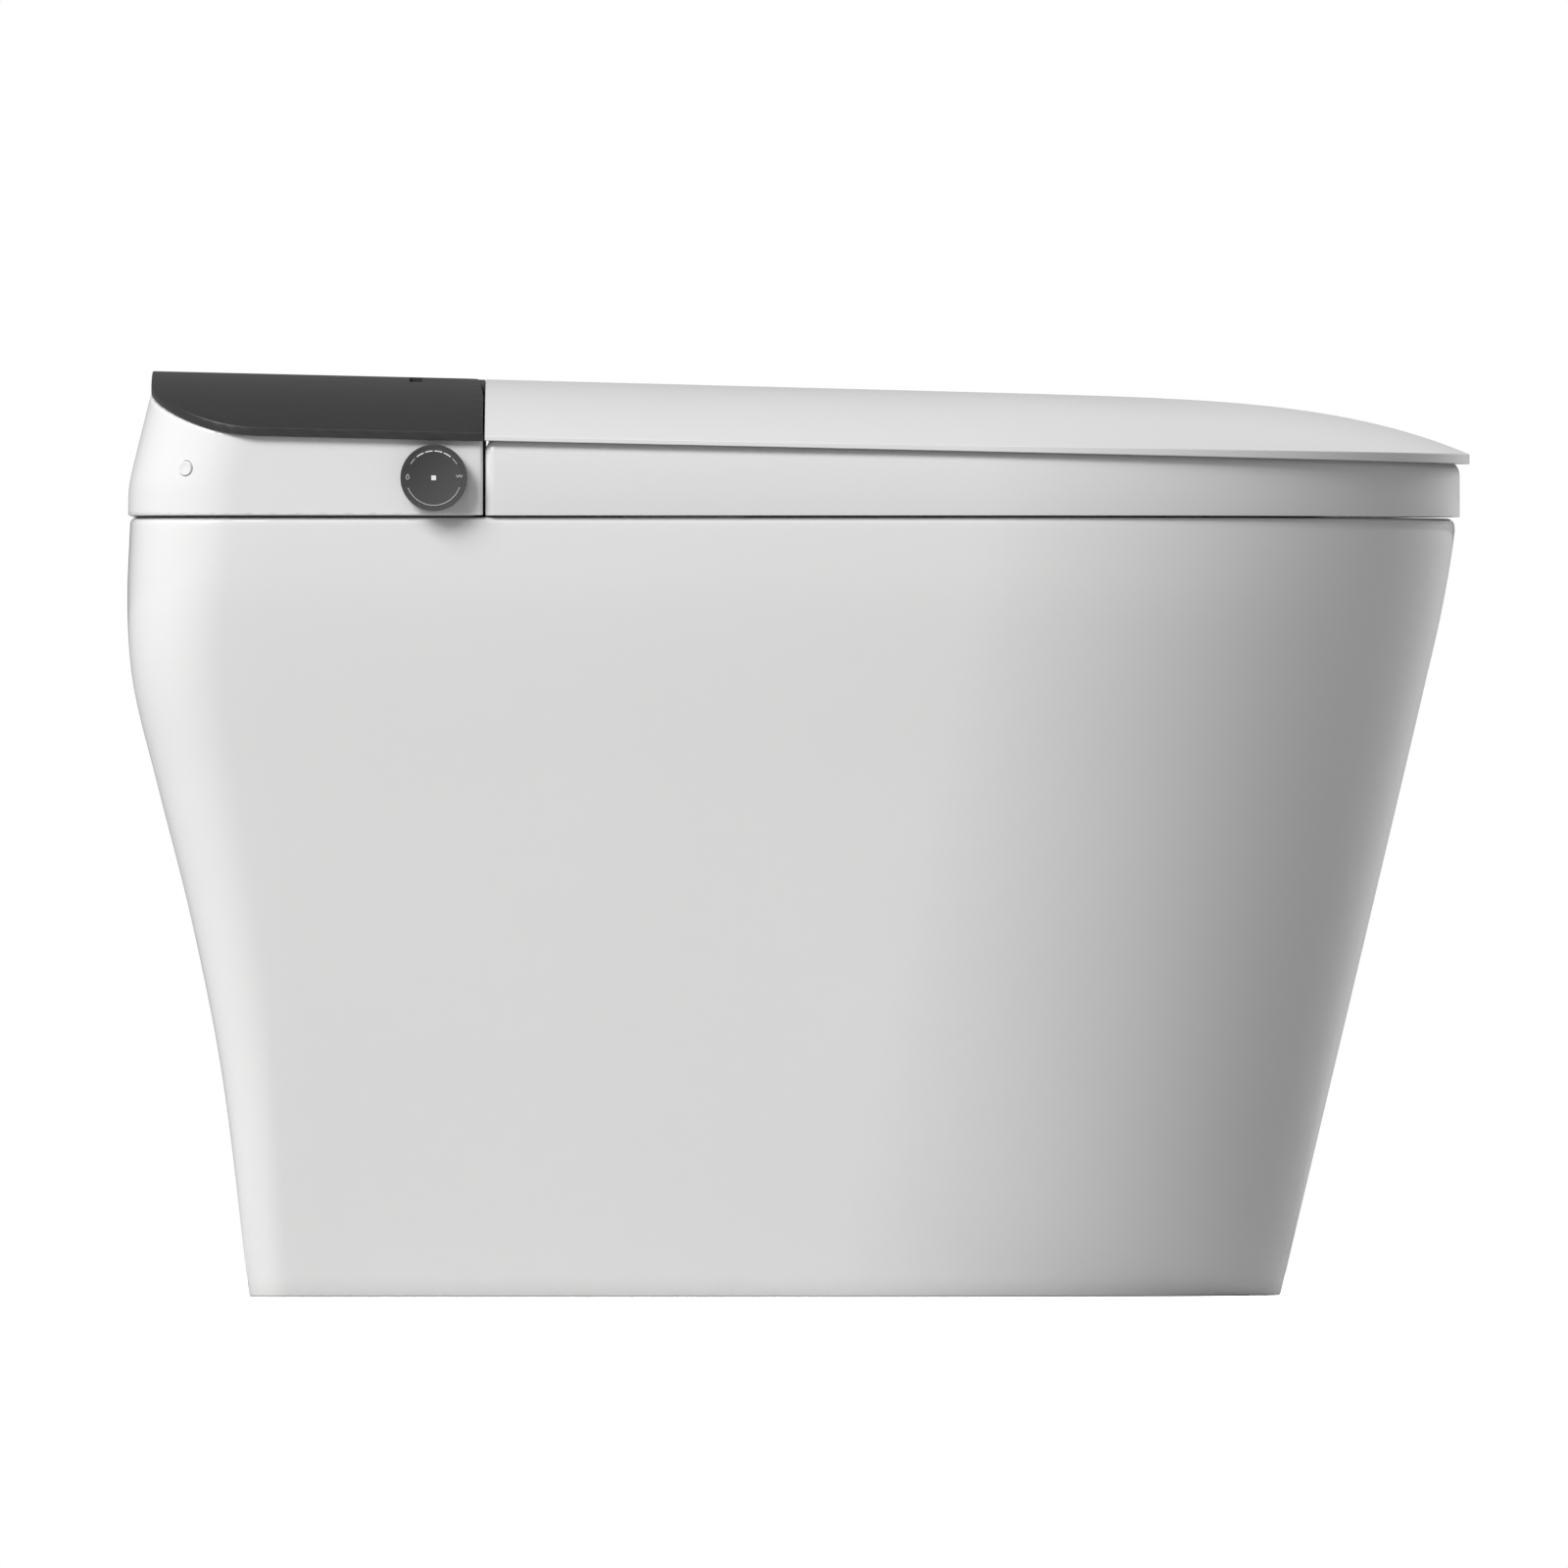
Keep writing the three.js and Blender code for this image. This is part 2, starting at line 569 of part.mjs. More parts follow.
piece(
  "flush_hose",
  tube(
    [
      [HOSE_START, 0, FLUSH_Z],
      [HOSE_START + 12, 0, FLUSH_Z],
      [SPOUT_BACK - 14, 0, SPOUT_Z],
      [SPOUT_BACK - FIT, 0, SPOUT_Z],
    ],
    12,
    12,
    5,
  ),
  BLACK,
);
piece(
  "flush_spout",
  cut(
    join(
      rod(SPOUT_RADIUS - 0.4, [SPOUT_BACK, 0, SPOUT_Z], [SPOUT_BACK + 26, 0, SPOUT_Z], 16),
      rod(SPOUT_RADIUS + 6, [SPOUT_BACK, 0, SPOUT_Z], [SPOUT_BACK + 4, 0, SPOUT_Z], 16),
    ),
    rod(SPOUT_RADIUS - 3.5, [SPOUT_BACK + 3, 0, SPOUT_Z], [SPOUT_BACK + 30, 0, SPOUT_Z], 16),
  ),
  LINER_WHITE,
);
const INLET_Y = 46;
piece(
  "water_inlet",
  join(
    rod(9, [FLUSH_X, INLET_Y + FIT, FLUSH_Z + 10], [FLUSH_X, INLET_Y + 26, FLUSH_Z + 10], 16),
    rod(10.4, [FLUSH_X, INLET_Y + 26, FLUSH_Z + 22], [FLUSH_X, INLET_Y + 26, FLUSH_Z - 26]),
    rod(14, [FLUSH_X, INLET_Y + 26, FLUSH_Z - 4], [FLUSH_X, INLET_Y + 26, FLUSH_Z - 10], 6),
  ),
  BRASS,
);

// ---------------------------------------------------------------- base tray, its bolts and their rubber plugs
const TRAY_FOOT = DECK + 0.4;
const GLAND = { x: UNIT_REAR + 80, y: -108 };
const HOSE_SLOT = { x0: UNIT_REAR + 30, x1: UNIT_REAR + 62, y0: -100, y1: -30 };
piece(
  "base_tray",
  cut(
    join(
      plate(
        unitOutline({ rear: UNIT_REAR + 4, front: UNIT_FRONT - 4, half: UNIT_HALF - 4, corner: REAR_CORNER - 4 }),
        TRAY_FOOT,
        TRAY_TOP,
      ),
      box(UNIT_FRONT - 8, UNIT_FRONT + 34, -HOOD_HALF_WIDTH + 3.2, HOOD_HALF_WIDTH - 3.2, TRAY_FOOT, TRAY_TOP),
    ),
    box(HOSE_SLOT.x0, HOSE_SLOT.x1, HOSE_SLOT.y0, HOSE_SLOT.y1, DECK, TRAY_TOP + 1),
    rod(6.4, [GLAND.x, GLAND.y, DECK], [GLAND.x, GLAND.y, TRAY_TOP + 1], 16),
    ...SIDES.map(([, side]) =>
      rod(4.5, [DECK_BOLT_X, side * DECK_BOLT_Y, DECK], [DECK_BOLT_X, side * DECK_BOLT_Y, TRAY_TOP + 1], 16),
    ),
  ),
  GREY,
);
for (const [word, side] of SIDES) {
  const y = side * DECK_BOLT_Y;
  const top = TRAY_TOP + FIT;
  piece(
    `deck_bolt_${word}`,
    join(
      rod(4, [DECK_BOLT_X, y, DECK - 30], [DECK_BOLT_X, y, top + 1], 16),
      rod(7, [DECK_BOLT_X, y, top], [DECK_BOLT_X, y, top + 5], 6),
    ),
    STEEL,
  );
  piece(
    `deck_plug_${word}`,
    cut(
      rod(DECK_HOLE - FIT, [DECK_BOLT_X, y, DECK - 32], [DECK_BOLT_X, y, DECK], 16),
      rod(4 + FIT, [DECK_BOLT_X, y, DECK - 31], [DECK_BOLT_X, y, DECK + 1], 16),
    ),
    BLACK,
  );
}

// ---------------------------------------------------------------- hood over the nozzle, in front of the unit
const HOOD_BACK = UNIT_FRONT + 0.6;
const HOOD_FRONT = PORT.x - 1;
const HOOD_TOP_REAR = DECK + NOZZLE_RADIUS + 27;
const HOOD_TOP_FRONT = DECK + NOZZLE_RADIUS + 18;
function hoodOutline(wall, back, foot) {
  return [
    [back, foot],
    [HOOD_FRONT - wall, foot],
    [HOOD_FRONT - wall, DECK + 15],
    [HOOD_FRONT - 3 - wall, HOOD_TOP_FRONT - 3 - wall],
    [HOOD_FRONT - 9 - wall, HOOD_TOP_FRONT - wall],
    [back, HOOD_TOP_REAR - wall],
  ];
}
const DRYER_Y0 = 25;
const DRYER_Y1 = 53;
const DRYER_FOOT = DECK + 5.4;
const DRYER_TOP = DECK + 17.4;
const FLAP_HINGE_X = HOOD_FRONT + 1.4;
const FLAP_HINGE_Z = DRYER_TOP - 2.6;
const alongNozzle = new THREE.Vector3(1, 0, 0).applyAxisAngle(
  new THREE.Vector3(0, 1, 0),
  THREE.MathUtils.degToRad(NOZZLE_SLOPE),
);
const onNozzle = (u) => PORT.clone().addScaledVector(alongNozzle, u).toArray();
const hoodRoom = HOOD_HALF_WIDTH - HOOD_WALL;
const PORT_RADIUS = NOZZLE_RADIUS + 2 * FIT;
const LIGHT_Y = -42;
piece(
  "nozzle_hood",
  cut(
    join(
      bar(hoodOutline(0, HOOD_BACK, DECK + 0.6), -HOOD_HALF_WIDTH, HOOD_HALF_WIDTH),
      ...[DRYER_Y0 - 1.5, DRYER_Y1 - 1.1].map((y) =>
        box(HOOD_FRONT - 1, HOOD_FRONT + 3, y, y + 2.6, FLAP_HINGE_Z - 2.2, FLAP_HINGE_Z + 2.2),
      ),
    ),
    rod(1.35, [FLAP_HINGE_X, DRYER_Y0 - 3, FLAP_HINGE_Z], [FLAP_HINGE_X, DRYER_Y1 + 3, FLAP_HINGE_Z], 12),
    bar(hoodOutline(HOOD_WALL, HOOD_BACK - 1, DECK - 1), -hoodRoom, hoodRoom),
    rod(PORT_RADIUS, onNozzle(-30), onNozzle(20)),
    box(
      HOOD_FRONT - 5,
      HOOD_FRONT + 5,
      NOZZLE_SIDE - PORT_RADIUS,
      NOZZLE_SIDE + PORT_RADIUS,
      DECK - 1,
      DECK + NOZZLE_PORT_HEIGHT,
    ),
    box(HOOD_FRONT - 5, HOOD_FRONT + 5, DRYER_Y0, DRYER_Y1, DRYER_FOOT, DRYER_TOP - 4),
    rod(3.9, [HOOD_FRONT - 6, LIGHT_Y, DECK + 9], [HOOD_FRONT + 6, LIGHT_Y, DECK + 9], 16),
  ),
  WHITE,
);
piece(
  "night_light_lens",
  rod(3.6, [HOOD_FRONT - 5, LIGHT_Y, DECK + 9], [HOOD_FRONT + 0.6, LIGHT_Y, DECK + 9], 16),
  LENS,
);

// ---------------------------------------------------------------- rear housing: the unit's white side shell
const unitBack = (z) => UNIT_REAR + BACK_SLOPE * Math.max(0, z - (DECK + 16));
function unitRing(z, inset, foot) {
  const outline = unitOutline({
    rear: unitBack(z) + inset,
    front: UNIT_FRONT - inset,
    half: UNIT_HALF - inset,
    corner: REAR_CORNER - inset,
    frontCorner: inset ? 0.5 : 2,
  });
  return atHeight(outline, foot ?? z);
}
const UNIT_TALL = DECK + 90;
const underCover = (x, y) => coverTop(x, y) - COVER_LIP - 1.1;
const aboveHousing = aboveArch(underCover, UNIT_REAR - 20, UNIT_FRONT + 20);

const BUTTON_CENTRE = new THREE.Vector3(
  unitBack(DECK + BUTTON_HEIGHT) + REAR_CORNER * (1 - Math.sin(THREE.MathUtils.degToRad(BUTTON_BEARING))),
  -(UNIT_HALF - REAR_CORNER) - REAR_CORNER * Math.cos(THREE.MathUtils.degToRad(BUTTON_BEARING)),
  DECK + BUTTON_HEIGHT,
);
const buttonOut = new THREE.Vector3(
  -Math.sin(THREE.MathUtils.degToRad(BUTTON_BEARING)),
  -Math.cos(THREE.MathUtils.degToRad(BUTTON_BEARING)),
  0,
);
const onButton = (d) => BUTTON_CENTRE.clone().addScaledVector(buttonOut, d).toArray();
const DIAL_X = UNIT_FRONT - DIAL_SETBACK;
const DIAL_Z = DECK + DIAL_HEIGHT;
const DIAL_HOLE = 12;

function makeHousing() {
  const heights = [UNIT_FOOT, DECK + 14, DECK + 19, UNIT_TALL];
  const outer = loft(heights.map((z) => unitRing(z, 0)));
  const inner = loft([
    unitRing(UNIT_FOOT, SKIN, UNIT_FOOT - 1),
    ...heights.slice(1, 3).map((z) => unitRing(z, SKIN)),
    unitRing(UNIT_TALL, SKIN, UNIT_TALL + 1),
  ]);
  const pockets = SIDES.map(([, side]) => {
    const [y0, y1] = [POCKET_INNER, POCKET_OUTER].map((y) => side * y).sort((a, b) => a - b);
    return {
      block: box(POCKET_REAR - POCKET_WALL, UNIT_FRONT - 1, y0 - POCKET_WALL, y1 + POCKET_WALL, DECK + 26, UNIT_TALL),
      space: box(POCKET_REAR, UNIT_FRONT + 5, y0, y1, DECK + 28.5, UNIT_TALL + 1),
    };
  });
  const pinHoles = SIDES.map(([, side]) =>
    rod(
      PIN_RADIUS + PIN_CLEARANCE,
      [HINGE_X, side * (POCKET_INNER - 6), HINGE_Z],
      [HINGE_X, side * (POCKET_OUTER + 6), HINGE_Z],
      16,
    ),
  );
  const shell = join(cut(outer, inner), ...pockets.map((pocket) => pocket.block));
  return cut(
    shell,
    ...pockets.map((pocket) => pocket.space),
    ...pinHoles,
    aboveHousing,
    box(UNIT_FRONT - 6, UNIT_FRONT + 5, -hoodRoom, hoodRoom, DECK - 1, HOOD_TOP_REAR - 1),
    rod(DIAL_HOLE, [DIAL_X, -UNIT_HALF - 5, DIAL_Z], [DIAL_X, -UNIT_HALF + 8, DIAL_Z]),
    rod(BUTTON_RADIUS + 0.35, onButton(-8), onButton(5), 16),
  );
}
piece("rear_housing", makeHousing(), WHITE);

// ---------------------------------------------------------------- top cover: the dark crowned plate over the unit
function makeCover() {
  const corner = REAR_CORNER;
  const ridgeFoot = COVER_REAR + corner;
  const half = HALF_WIDTH;
  const outline = [[COVER_FRONT, half]];
  const sides = [1 / 2].map((share) => COVER_FRONT + (ridgeFoot - COVER_FRONT) * share);
  for (const x of sides) outline.push([x, half]);
  arc(outline, ridgeFoot, half - corner, corner, corner, 90, 180, 7);
  const rear = [2 / 3, 1 / 3, 0, -1 / 3, -2 / 3].map((share) => [COVER_REAR, share * (half - corner)]);
  outline.push(...rear);
  arc(outline, ridgeFoot, corner - half, corner, corner, 180, 270, 7);
  for (const x of sides) outline.push([x, -half]);
  outline.push([COVER_FRONT, -half]);
  const footOf = (point) => Math.max(point[0], ridgeFoot);
  const height = (point, share) => {
    const foot = footOf(point);
    return coverTop(foot + (point[0] - foot) * share, point[1] * share);
  };
  const shares = [0, 0.35, 0.55, 0.7, 0.82, 0.92, 1];
  const edge = (x, y) => coverTop(x, y) - COVER_LIP;
  const shell = crownShell(outline, footOf, height, edge, LID_WALL, COVER_LIP_WALL, shares);
  // The front edge is rounded about the hinge axis, so that the lid's rear edge swings past it.
  const swing = HINGE_SETBACK - LID_GAP - 0.2;
  const relief = arc([], HINGE_X, HINGE_Z, swing, swing, 0, 50, 6);
  relief.push([HINGE_X + swing + 10, HINGE_Z + 40], [HINGE_X + swing + 10, HINGE_Z]);
  const notches = SIDES.map(([, side]) => {
    const [y0, y1] = [POCKET_INNER, POCKET_OUTER].map((y) => side * y).sort((a, b) => a - b);
    return box(POCKET_REAR, COVER_FRONT + 5, y0, y1, DECK, UNIT_TALL);
  });
  return cut(shell, bar(relief, -HALF_WIDTH - 5, HALF_WIDTH + 5), ...notches);
}
piece("top_cover", makeCover(), DARK);

// ---------------------------------------------------------------- hinge shafts and their dampers
for (const [word, side] of SIDES) {
  const name = word === "right" ? "lid" : "seat";
  const inner = 16;
  const mouth = POCKET_INNER - POCKET_WALL - FIT;
  piece(
    `${name}_hinge_shaft`,
    rod(PIN_RADIUS, [HINGE_X, side * (inner + 6), HINGE_Z], [HINGE_X, side * SHAFT_END, HINGE_Z], 16),
    STEEL,
  );
  piece(
    `${name}_damper`,
    cut(
      join(
        rod(DAMPER_RADIUS, [HINGE_X, side * inner, HINGE_Z], [HINGE_X, side * mouth, HINGE_Z]),
        box(
          HINGE_X - 11,
          HINGE_X + 11,
          ...[side * (mouth - 3), side * mouth].sort((a, b) => a - b),
          HINGE_Z - 11,
          HINGE_Z + 3,
        ),
      ),
      rod(
        PIN_RADIUS + PIN_CLEARANCE,
        [HINGE_X, side * (inner + 5), HINGE_Z],
        [HINGE_X, side * (mouth + 1), HINGE_Z],
        16,
      ),
    ),
    BLACK,
  );
}
// Pressed steel bridge over the nozzle that carries both dampers.
const BRIDGE_HALF = 57;
const BRIDGE_LEGS = [1 - BRIDGE_HALF, 23]; // one on each side of the nozzle, clear of the warm air duct
const BRIDGE_TOP = HINGE_Z - 11 - FIT;
piece(
  "hinge_bridge",
  join(
    box(HINGE_X - 12, HINGE_X + 12, -BRIDGE_HALF, BRIDGE_HALF, BRIDGE_TOP - 2, BRIDGE_TOP),
    ...BRIDGE_LEGS.map((y) => box(HINGE_X - 12, HINGE_X + 12, y - 1, y + 1, TRAY_TOP + FIT, BRIDGE_TOP)),
  ),
  STEEL,
);

// ---------------------------------------------------------------- lid: outer shell, hinge blocks, liner and buffers
function makeLid() {
  const sides = [0, 1 / 3, 2 / 3].map((share) => LID_REAR + (LID_BEND - LID_REAR) * share);
  const outline = sides.map((x) => [x, -HALF_WIDTH]);
  arc(outline, LID_BEND, 0, LID_FRONT - LID_BEND, HALF_WIDTH, -90, 90, 24);
  outline.push(...sides.slice().reverse().map((x) => [x, HALF_WIDTH]));
  const footOf = (point) => Math.min(point[0], LID_BEND);
  const height = (point, share) => {
    const foot = footOf(point);
    const drop = lidRidge(point[0]) - (lidEdge(point[0]) + lidLip(point[0]));
    return lidRidge(foot + (point[0] - foot) * share) - drop * share ** 4;
  };
  const shares = [0, 0.35, 0.55, 0.7, 0.82, 0.92, 1];
  return crownShell(outline, footOf, height, lidEdge, LID_WALL, LID_WALL, shares);
}
piece("lid_shell", makeLid(), WHITE);

// Height of the lid's outside, less a depth, near its rear edge.
const lidSurface = (depth) => (x, y) =>
  lidRidge(x) - (lidRidge(LID_REAR) - lidEdge(LID_REAR) - lidLip(LID_REAR)) * Math.abs(y / HALF_WIDTH) ** 4 - depth;
// A hinge block on each side: two cheeks under a skin that carries on the crown, and two prongs screwed under the lid.
function makeLidEar(side) {
  const [y0, y1] = [EAR_INNER, EAR_OUTER].map((y) => side * y).sort((a, b) => a - b);
  const prongFront = LID_REAR + 22;
  const foot = HINGE_Z - 8;
  const over = HINGE_Z + 30;
  const between = HINGE_Z + SEAT_EAR_RADIUS + 0.6;
  const hood = bar(
    [
      [HINGE_X - EAR_TAIL, foot],
      [LID_REAR - FIT, foot],
      [LID_REAR - FIT, over],
      [HINGE_X - EAR_TAIL, over],
    ],
    y0,
    y1,
  );
  const prongs = bar(
    [
      [HINGE_X + EAR_RADIUS, foot],
      [LID_REAR, foot],
      [prongFront, HINGE_Z + 2],
      [prongFront, over],
      [HINGE_X + EAR_RADIUS, over],
    ],
    y0,
    y1,
  );
  const above = (depth) => aboveArch(lidSurface(depth), HINGE_X - 30, LID_REAR + 40);
  return cut(
    join(
      cut(join(rod(EAR_RADIUS, [HINGE_X, y0, HINGE_Z], [HINGE_X, y1, HINGE_Z]), hood), above(0)),
      cut(prongs, above(LID_WALL + 0.8)),
    ),
    box(HINGE_X - 20, prongFront + 5, y0 + EAR_CHEEK, y1 - EAR_CHEEK, HINGE_Z - 20, between),
    rod(PIN_RADIUS + PIN_CLEARANCE, [HINGE_X, y0 - 5, HINGE_Z], [HINGE_X, y1 + 5, HINGE_Z], 16),
  );
}
for (const [word, side] of SIDES) piece(`lid_hinge_ear_${word}`, makeLidEar(side), WHITE);

const LINER_REAR = LID_REAR + 26;
const linerOutline = bodyOutline({
  rear: LINER_REAR,
  front: LID_BEND + (LID_FRONT - LID_BEND) * LINER_SCALE,
  half: HALF_WIDTH * LINER_SCALE,
  corner: 18,
  bend: LID_BEND,
});
const lidUnderside = (x, y) =>
  lidRidge(x) - (lidRidge(x) - lidEdge(x) - lidLip(x)) * Math.abs(y / HALF_WIDTH) ** 4 - LID_WALL;
const LINER_POSTS = [-90, 70].flatMap((x) => [-80, 80].map((y) => [x, y]));
piece(
  "lid_liner",
  join(
    loft([
      atHeight(linerOutline, (x) => lidEdge(x) + LINER_LIFT),
      atHeight(linerOutline, (x) => lidEdge(x) + LINER_LIFT + LINER_WALL),
    ]),
    ...LINER_POSTS.map(([x, y]) =>
      rod(4, [x, y, lidEdge(x) + LINER_LIFT + 1], [x, y, lidUnderside(x, y) - 0.6], 10),
    ),
  ),
  LINER_WHITE,
);
// The front buffers meet the seat part of the way from its hole to its side.
const SEAT_HOLE = {
  x: (SEAT_HOLE_REAR + SEAT_HOLE_FRONT) / 2,
  halfLength: (SEAT_HOLE_FRONT - SEAT_HOLE_REAR) / 2,
  halfWidth: SEAT_HOLE_HALF_WIDTH,
};
const SEAT_ROUND = { x: LID_BEND, halfLength: SEAT_FRONT - LID_BEND, halfWidth: UNIT_HALF };
const MEET_X = 190;
const MEET_SHARE = 0.405;
const holeSide = ellipseSide(MEET_X, SEAT_HOLE);
const MEET_Y = holeSide + MEET_SHARE * (ellipseSide(MEET_X, SEAT_ROUND) - holeSide);
const LID_BUFFERS = SIDES.flatMap(([word, side]) => [
  [`rear_${word}`, -90, side * (HALF_WIDTH - 55)],
  [`front_${word}`, MEET_X, side * MEET_Y],
]);
for (const [word, x, y] of LID_BUFFERS) {
  piece(
    `lid_buffer_${word}`,
    rod(7, [x, y, seatTop(x) + FIT + 0.4], [x, y, lidEdge(x) + LINER_LIFT - FIT - 0.2], 16, 8),
    RUBBER,
  );
}

// ---------------------------------------------------------------- seat: heated shell, hinge arms, base and buffers
const seatShape = (inset) => ({
  rear: SEAT_REAR + inset,
  front: SEAT_FRONT - inset,
  half: UNIT_HALF - inset,
  corner: Math.max(3, 5 - inset),
  bend: LID_BEND,
});
const seatRing = (inset, z) => atHeight(bodyOutline(seatShape(inset)), z);
const HOLE_STEPS = 32;
const holeRing = (grow, z) =>
  atHeight(ellipse(SEAT_HOLE.x, SEAT_HOLE.halfLength + grow, SEAT_HOLE.halfWidth + grow, HOLE_STEPS), z);
const NOTCH_HALF = HOOD_HALF_WIDTH + 4;

function makeSeat() {
  const r = SEAT_EDGE_ROUND;
  const outer = loft([
    seatRing(0, SEAT_FOOT),
    seatRing(0, (x) => seatTop(x) - r),
    seatRing(0.13 * r, (x) => seatTop(x) - 0.5 * r),
    seatRing(0.5 * r, (x) => seatTop(x) - 0.13 * r),
    seatRing(r, seatTop),
  ]);
  const h = SEAT_HOLE_ROUND;
  const hole = loft([
    holeRing(0, SEAT_FOOT - 2),
    holeRing(0, (x) => seatTop(x) - h),
    holeRing(0.2 * h, (x) => seatTop(x) - 0.4 * h),
    holeRing(h, (x) => seatTop(x) + 0.2),
    holeRing(h, (x) => seatTop(x) + 5),
  ]);
  const inside = loft([
    seatRing(SEAT_WALL, SEAT_FOOT - 1),
    seatRing(SEAT_WALL, (x) => seatTop(x) - SEAT_WALL - 5),
    seatRing(SEAT_WALL + 3, (x) => seatTop(x) - SEAT_WALL),
  ]);
  const holeWall = loft([
    holeRing(SEAT_WALL, SEAT_FOOT - 3),
    holeRing(SEAT_WALL, (x) => seatTop(x) - h - 3),
    holeRing(SEAT_WALL + h, (x) => seatTop(x) - 2),
    holeRing(SEAT_WALL + h, (x) => seatTop(x) + 6),
  ]);
  const notchOutline = (grow) => [
    [SEAT_REAR - 6, DECK - 5],
    [SEAT_HOLE_REAR + 30, DECK - 5],
    [SEAT_HOLE_REAR + 30, DECK + 20 + grow],
    [HOOD_FRONT + 7 + grow, DECK + 20 + grow],
    [HOOD_FRONT - 5 + grow, HOOD_TOP_FRONT + 2.2 + grow],
    [SEAT_REAR - 6, HOOD_TOP_REAR + 2.5 + grow],
  ];
  const notch = bar(notchOutline(0), -NOTCH_HALF, NOTCH_HALF);
  const notchWall = bar(notchOutline(2.4), -NOTCH_HALF - SEAT_WALL, NOTCH_HALF + SEAT_WALL);
  return cut(outer, hole, cut(inside, holeWall, notchWall), notch);
}
piece("seat_shell", makeSeat(), WHITE);

// An arm on each side, between the cheeks of the lid's hinge block, with a pad bolted on the seat's rear edge.
function makeSeatArm(side) {
  const reach = EAR_CHEEK + EAR_SIDE_GAP;
  const [y0, y1] = [EAR_INNER + reach, EAR_OUTER - reach].map((y) => side * y).sort((a, b) => a - b);
  const [heel, toe] = [SEAT_REAR + 4, SEAT_REAR + 30];
  const arm = bar(
    [
      [HINGE_X - 3.5, HINGE_Z - 4.5],
      [heel, seatTop(heel) + FIT + 0.3],
      [toe, seatTop(toe) + FIT + 0.3],
      [toe, seatTop(toe) + 3.4],
      [SEAT_REAR + 12, seatTop(SEAT_REAR + 12) + 6.5],
      [HINGE_X + 4.2, HINGE_Z + 4],
    ],
    y0,
    y1,
  );
  return cut(
    join(rod(SEAT_EAR_RADIUS, [HINGE_X, y0, HINGE_Z], [HINGE_X, y1, HINGE_Z]), arm),
    rod(PIN_RADIUS + PIN_CLEARANCE, [HINGE_X, y0 - 5, HINGE_Z], [HINGE_X, y1 + 5, HINGE_Z], 16),
  );
}
for (const [word, side] of SIDES) piece(`seat_hinge_arm_${word}`, makeSeatArm(side), WHITE);

const BASE_FOOT = SEAT_FOOT + 1.6;
const BASE_TOP = BASE_FOOT + 2.4;
piece(
  "seat_base",
  cut(
    loft([seatRing(SEAT_WALL + FIT, BASE_FOOT), seatRing(SEAT_WALL + FIT, BASE_TOP)]),
    loft([holeRing(SEAT_WALL + FIT, BASE_FOOT - 1), holeRing(SEAT_WALL + FIT, BASE_TOP + 1)]),
    box(
      SEAT_REAR - 5,
      SEAT_HOLE_REAR + 40,
      -NOTCH_HALF - SEAT_WALL - FIT,
      NOTCH_HALF + SEAT_WALL + FIT,
      DECK - 5,
      BASE_TOP + 2,
    ),
  ),
  LINER_WHITE,
);
// The heating mat lies in the middle of the seat's land, between the hole and the outer edge.
const HEATER_DROP = SEAT_WALL + 1.5;
const SEAT_LAND = UNIT_HALF - SEAT_HOLE_HALF_WIDTH;
const MAT_OUTSIDE = 0.327 * SEAT_LAND;
const MAT_INSIDE = 0.2516 * SEAT_LAND;
const heaterHeight = (drop) => (x) => seatTop(x) - drop;
piece(
  "seat_heater",
  cut(
    loft([
      seatRing(MAT_OUTSIDE, heaterHeight(HEATER_DROP + 0.8)),
      seatRing(MAT_OUTSIDE, heaterHeight(HEATER_DROP)),
    ]),
    loft([holeRing(MAT_INSIDE, DECK), holeRing(MAT_INSIDE, DECK + 60)]),
    box(SEAT_REAR - 5, SEAT_HOLE_REAR + 40, -NOTCH_HALF - 8, NOTCH_HALF + 8, DECK, DECK + 60),
  ),
  FOIL,
);
// The front buffers stand on the pan's rim, a third of the way from the bowl's edge to the pan's side.
const PAN_ROUND = { x: LID_BEND, halfLength: PAN_FRONT - LID_BEND, halfWidth: PAN_HALF };
const BUFFER_FRONT_X = 200;
const bowlSide = ellipseSide(BUFFER_FRONT_X, BOWL_MOUTH);
const BUFFER_FRONT_Y = bowlSide + (ellipseSide(BUFFER_FRONT_X, PAN_ROUND) - bowlSide) / 3;
const SEAT_BUFFERS = SIDES.flatMap(([word, side]) => [
  [`rear_${word}`, -100, side * (UNIT_HALF - 39.5)],
  [`front_${word}`, BUFFER_FRONT_X, side * BUFFER_FRONT_Y],
]);
for (const [word, x, y] of SEAT_BUFFERS) {
  piece(
    `seat_buffer_${word}`,
    rod(7, [x, y, DECK + FIT], [x, y, BASE_FOOT - FIT], 16, 8),
    RUBBER,
  );
}

// ---------------------------------------------------------------- control dial, on the unit's right side
const dial = new THREE.Group();
dial.position.set(DIAL_X, -UNIT_HALF, DIAL_Z);
toilet.add(dial);
// In the dial's own frame the unit's side is at Y = 0 and the dial stands out towards -Y.
const across = (radius, y0, y1, steps) => rod(radius, [0, y0, 0], [0, y1, 0], steps);
piece(
  "dial_bezel",
  cut(join(across(DIAL_HOLE - FIT, -0.5, 8), across(14.6, -FIT, -1)), across(10, -5, 12)),
  BLACK,
  dial,
);
piece(
  "dial_ring",
  cut(
    join(
      across(DIAL_RADIUS, -DIAL_STANDOFF, -DIAL_PROUD + 0.8, 40),
      rod(DIAL_RADIUS, [0, -DIAL_PROUD + 0.9, 0], [0, -DIAL_PROUD, 0], 40, DIAL_RADIUS - 1),
    ),
    across(DIAL_FACE_RADIUS + FIT, 5, -20, 40),
  ),
  DIAL_METAL,
  dial,
);
